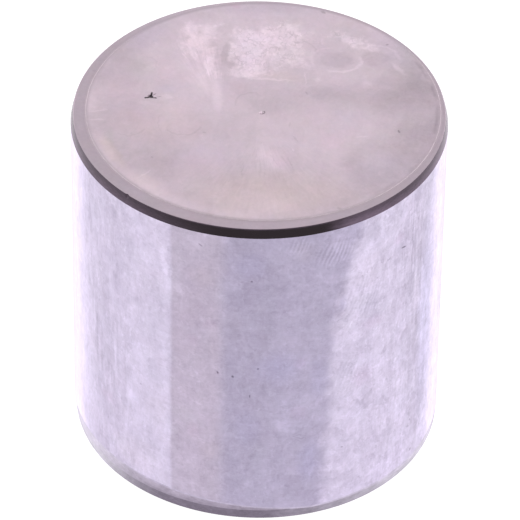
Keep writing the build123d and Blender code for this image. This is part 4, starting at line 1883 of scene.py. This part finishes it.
    def hollow(self, x: np.ndarray, y: np.ndarray) -> np.ndarray:
        """Depth of the turning mark and of the pit with its arms.

        Args:
            x: Each point's place to the right.
            y: Each point's place to the back.

        Returns:
            The depth at each point, 0 outside them.
        """
        mark = np.hypot(x - self.mark_centre[0], y - self.mark_centre[1]) / self.mark_radius
        depth = self.mark_depth * np.clip(1.0 - mark, 0.0, 1.0)
        dx, dy = x - self.pit_centre[0], y - self.pit_centre[1]
        for angle, reach in self.pit_arms:
            along_x, along_y = math.cos(math.radians(angle)), math.sin(math.radians(angle))
            share = np.clip((dx * along_x + dy * along_y) / reach, 0.0, 1.0)
            off = np.hypot(dx - share * reach * along_x, dy - share * reach * along_y)
            width = self.arm_width * (1.0 - self.arm_taper * share)
            deepest = self.pit_depth * (1.0 - self.arm_rise * share)
            depth = np.maximum(depth, deepest * np.clip(1.0 - off / width, 0.0, 1.0))
        return depth

    def dent(self, points: np.ndarray) -> np.ndarray:
        """Presses the turning mark, the pit and the nick into the points.

        Args:
            points: All the points, one row each.

        Returns:
            The moved points.
        """
        x, y, z = points.T
        z = np.where(z > self.height - FACE_TOLERANCE, z - self.hollow(x, y), z)
        turn = math.radians(self.nick_azimuth)
        reach = self.radius - self.bevel_width + self.nick_radius - self.nick_bite
        middle = np.array((reach * math.sin(turn), -reach * math.cos(turn), self.height - self.disc_rise))
        moved = np.stack((x, y, z), axis=1)
        away = moved - middle
        flat = np.hypot(away[:, 0], away[:, 1])
        inside = (np.linalg.norm(away, axis=1) < self.nick_radius) & (z > middle[2] - self.nick_radius)
        wanted = np.sqrt(np.maximum(self.nick_radius**2 - away[:, 2] ** 2, 0.0))
        push = np.where(inside, np.minimum(wanted - flat, self.nick_bite), 0.0)
        moved[:, :2] += push[:, None] * (-middle[:2] / reach)
        return moved

    def mesh(self) -> bpy.types.Mesh:
        """Builds the closed mesh, with each face's zone as its material slot.

        Returns:
            The mesh, in metres.
        """
        rings = [*self.face_rings(), *self.land_rings(), *self.bevel_rings(), *self.skirt_rings()]
        rings += self.bore_rings()
        columns = len(self.azimuths)
        top = (*self.mark_centre, self.height)
        bottom = (0.0, 0.0, self.bore_depth)
        points = self.dent(np.concatenate([np.array([top]), *(ring.points for ring in rings), [bottom]]))
        last = len(points) - 1
        faces = [(0, 1 + j, 1 + (j + 1) % columns) for j in range(columns)]
        zones = [Zone.GROUND_FACE.value] * columns
        for i, ring in enumerate(rings[:-1]):
            start = 1 + i * columns
            for j in range(columns):
                k = (j + 1) % columns
                faces.append((start + j, start + columns + j, start + columns + k, start + k))
            zones += [ring.zone.value] * columns
        start = 1 + (len(rings) - 1) * columns
        faces += [(start + j, last, start + (j + 1) % columns) for j in range(columns)]
        zones += [Zone.BORE.value] * columns
        made = bpy.data.meshes.new("valve_shim_cup")
        made.from_pydata((points * MM).tolist(), [], faces)
        made.polygons.foreach_set("material_index", zones)
        made.polygons.foreach_set("use_smooth", [True] * len(faces))
        made.set_sharp_from_angle(angle=math.radians(self.sharp_angle))
        made.update()
        return made

    def build(self) -> bpy.types.Object:
        """Makes the object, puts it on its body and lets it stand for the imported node.

        Returns:
            The object.
        """
        piece = bpy.data.objects.new("shim_cup", self.mesh())
        bpy.context.scene.collection.objects.link(piece)
        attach(piece, BODY)
        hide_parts(CAD_NODE)
        return piece

    def dress(self, piece: bpy.types.Object, effects: Effects) -> None:
        """Gives each zone its finish, in the order of the slots.

        Args:
            piece: The cup.
            effects: The shared groups.
        """
        finishes = {
            Zone.GROUND_FACE: GroundFaceFinish(),
            Zone.DISC_STEP: DiscStepFinish(),
            Zone.FACE_LAND: FaceLandFinish(),
            Zone.EDGE_BEVEL: EdgeBevelFinish(),
            Zone.SKIRT: SkirtFinish(),
            # A thin strip above the run-out, paler than the skirt in front: a painted highlight along the
            # edge.
            Zone.SKIRT_LIP: FootFinish(
                name="skirt_lip_highlight",
                low=(0.50, 0.445, 0.57),
                high=(0.50, 0.445, 0.57),
                pale=(0.60, 0.55, 0.66),
            ),
            # Run-out and lower chamfer: a darker finish with painted shade, darkest in front.
            Zone.RUNOUT: FootFinish(
                name="runout",
                low=(0.345, 0.298, 0.378),
                high=(0.44, 0.385, 0.48),
                pale=(0.62, 0.565, 0.675),
            ),
            Zone.LOWER_CHAMFER: FootFinish(
                name="lower_chamfer",
                low=(0.208, 0.176, 0.232),
                high=(0.208, 0.176, 0.232),
                pale=(0.62, 0.58, 0.665),
            ),
            Zone.RIM: RimFinish(),
            Zone.BORE: BoreFinish(),
        }
        for zone in Zone:
            piece.data.materials.append(finishes[zone].material(effects))


@dataclass(frozen=True)
class Lamp:
    """Soft rectangular lamp that faces the object."""

    name: str
    place: Triple
    size: Pair
    brightness: float
    aim: Triple = (0.0, 0.0, 5.0)

    def build(self) -> bpy.types.Object:
        """Makes the lamp.

        Returns:
            The lamp's object.
        """
        light = bpy.data.lights.new(self.name, "AREA")
        light.shape = "RECTANGLE"
        light.size, light.size_y = (side * MM for side in self.size)
        light.energy = self.brightness * math.pi * light.size * light.size_y
        lamp = bpy.data.objects.new(self.name, light)
        lamp.location = Vector(self.place) * MM
        heading = Vector(self.aim) - Vector(self.place)
        lamp.rotation_euler = heading.to_track_quat("-Z", "Y").to_euler()
        bpy.context.scene.collection.objects.link(lamp)
        return lamp


@dataclass(frozen=True)
class Viewpoint:
    """Camera at the photograph's viewing angle, without shift."""

    elevation: float = 39.33
    roll: float = -0.838
    distance: float = 135.7
    focus_px: float = 5130.5
    aim: Triple = (0.0, 0.0, 9.985)
    aim_right: float = 0.0701
    aim_up: float = -3.915
    sensor: float = 36.0
    nearest: float = 1.0
    farthest: float = 10000.0

    def build(self) -> bpy.types.Object:
        """Makes the camera and gives it to the scene.

        Returns:
            The camera's object.
        """
        rise, turn = math.radians(self.elevation), math.radians(self.roll)
        back = Vector((0.0, -math.cos(rise), math.sin(rise)))
        level = Vector((1.0, 0.0, 0.0))
        upward = Vector((0.0, math.sin(rise), math.cos(rise)))
        aim = Vector(self.aim) + level * self.aim_right + upward * self.aim_up
        across = level * math.cos(turn) - upward * math.sin(turn)
        over = level * math.sin(turn) + upward * math.cos(turn)
        data = bpy.data.cameras.new("camera")
        data.sensor_width = self.sensor
        data.lens = self.sensor * self.focus_px / IMAGE_SIZE
        data.clip_start, data.clip_end = self.nearest * MM, self.farthest * MM
        camera = bpy.data.objects.new("camera", data)
        place = (aim + back * self.distance) * MM
        pose = Matrix((across, over, back)).transposed().to_4x4()
        pose.translation = place
        camera.matrix_world = pose
        bpy.context.scene.collection.objects.link(camera)
        bpy.context.scene.camera = camera
        return camera


@dataclass(frozen=True)
class Studio:
    """White floor, soft lamps and a pale surround."""

    surround: float = 0.30
    floor_side: float = 1200.0
    floor_colour: Triple = (0.62, 0.62, 0.62)
    white: Triple = (1.0, 1.0, 1.0)
    floor_glow: float = 0.90
    floor_gap: float = 0.002
    lamps: tuple[Lamp, ...] = (
        Lamp("lamp_left", (-108.0, 0.0, 24.0), (110.0, 52.0), 1.0),
        Lamp("lamp_right", (108.0, 0.0, 24.0), (110.0, 52.0), 1.0),
        Lamp("lamp_back_left", (-46.0, 96.0, 38.0), (60.0, 56.0), 1.9),
        Lamp("lamp_back_right", (46.0, 96.0, 38.0), (60.0, 56.0), 1.8),
    )

    def shown_share(self, bench: Bench) -> Socket:
        """Adds up the rays that show the background: seen straight on, in gloss or through glass.

        Args:
            bench: The bench of the material or world.

        Returns:
            1 for those rays and 0 for others.
        """
        path = bench.add("ShaderNodeLightPath")
        seen = bench.calc("MAXIMUM", path.outputs["Is Camera Ray"], path.outputs["Is Glossy Ray"])
        return bench.calc("MAXIMUM", seen, path.outputs["Is Transmission Ray"])

    def build_surround(self) -> None:
        """Lights the scene from all round, white where it is seen."""
        world = bpy.data.worlds.new("surround")
        world.use_nodes = True
        bpy.context.scene.world = world
        bench = Bench(world.node_tree)
        ground = world.node_tree.nodes["Background"]
        strength = bench.remap(self.shown_share(bench), 0.0, 1.0, self.surround, 1.0, smooth=False)
        bench.feed(ground.inputs["Color"], self.white)
        bench.feed(ground.inputs["Strength"], strength)

    def build_floor(self) -> bpy.types.Object:
        """Lays the floor just under the rim.

        Returns:
            The floor.
        """
        half = self.floor_side * MM / 2
        level = -self.floor_gap * MM
        mesh = bpy.data.meshes.new("floor")
        corners = [(-half, -half, level), (half, -half, level), (half, half, level), (-half, half, level)]
        mesh.from_pydata(corners, [], [(0, 1, 2, 3)])
        floor = bpy.data.objects.new("floor", mesh)
        bpy.context.scene.collection.objects.link(floor)
        paint = bpy.data.materials.new("floor_paint")
        paint.use_nodes = True
        bench = Bench(paint.node_tree)
        shader = paint.node_tree.nodes["Principled BSDF"]
        for name, value in (
            ("Base Color", self.floor_colour),
            ("Roughness", 1.0),
            ("Specular IOR Level", 0.0),
            ("Emission Color", self.white),
            ("Emission Strength", bench.times(self.shown_share(bench), self.floor_glow)),
        ):
            bench.feed(shader.inputs[name], value)
        clear = bench.add("ShaderNodeBsdfTransparent")
        choice = bench.add("ShaderNodeMixShader")
        bench.feed(choice.inputs[0], bench.add("ShaderNodeNewGeometry").outputs["Backfacing"])
        bench.tree.links.new(shader.outputs[0], choice.inputs[1])
        bench.tree.links.new(clear.outputs[0], choice.inputs[2])
        bench.tree.links.new(choice.outputs[0], paint.node_tree.nodes["Material Output"].inputs["Surface"])
        mesh.materials.append(paint)
        return floor

    def build(self) -> None:
        """Makes the surround, the floor and the lamps."""
        self.build_surround()
        self.build_floor()
        for lamp in self.lamps:
            lamp.build()


def main() -> None:
    """Builds the studio and the cup."""
    logging.basicConfig(level=logging.INFO, format="%(name)s: %(message)s")
    bpy.context.scene.view_settings.view_transform = "Standard"
    Viewpoint().build()
    Studio().build()
    effects = Effects()
    cup = ShimCup()
    piece = cup.build()
    cup.dress(piece, effects)
    LOG.info("%s: %d points, %d faces", piece.name, len(piece.data.vertices), len(piece.data.polygons))


if __name__ == "__main__":
    main()
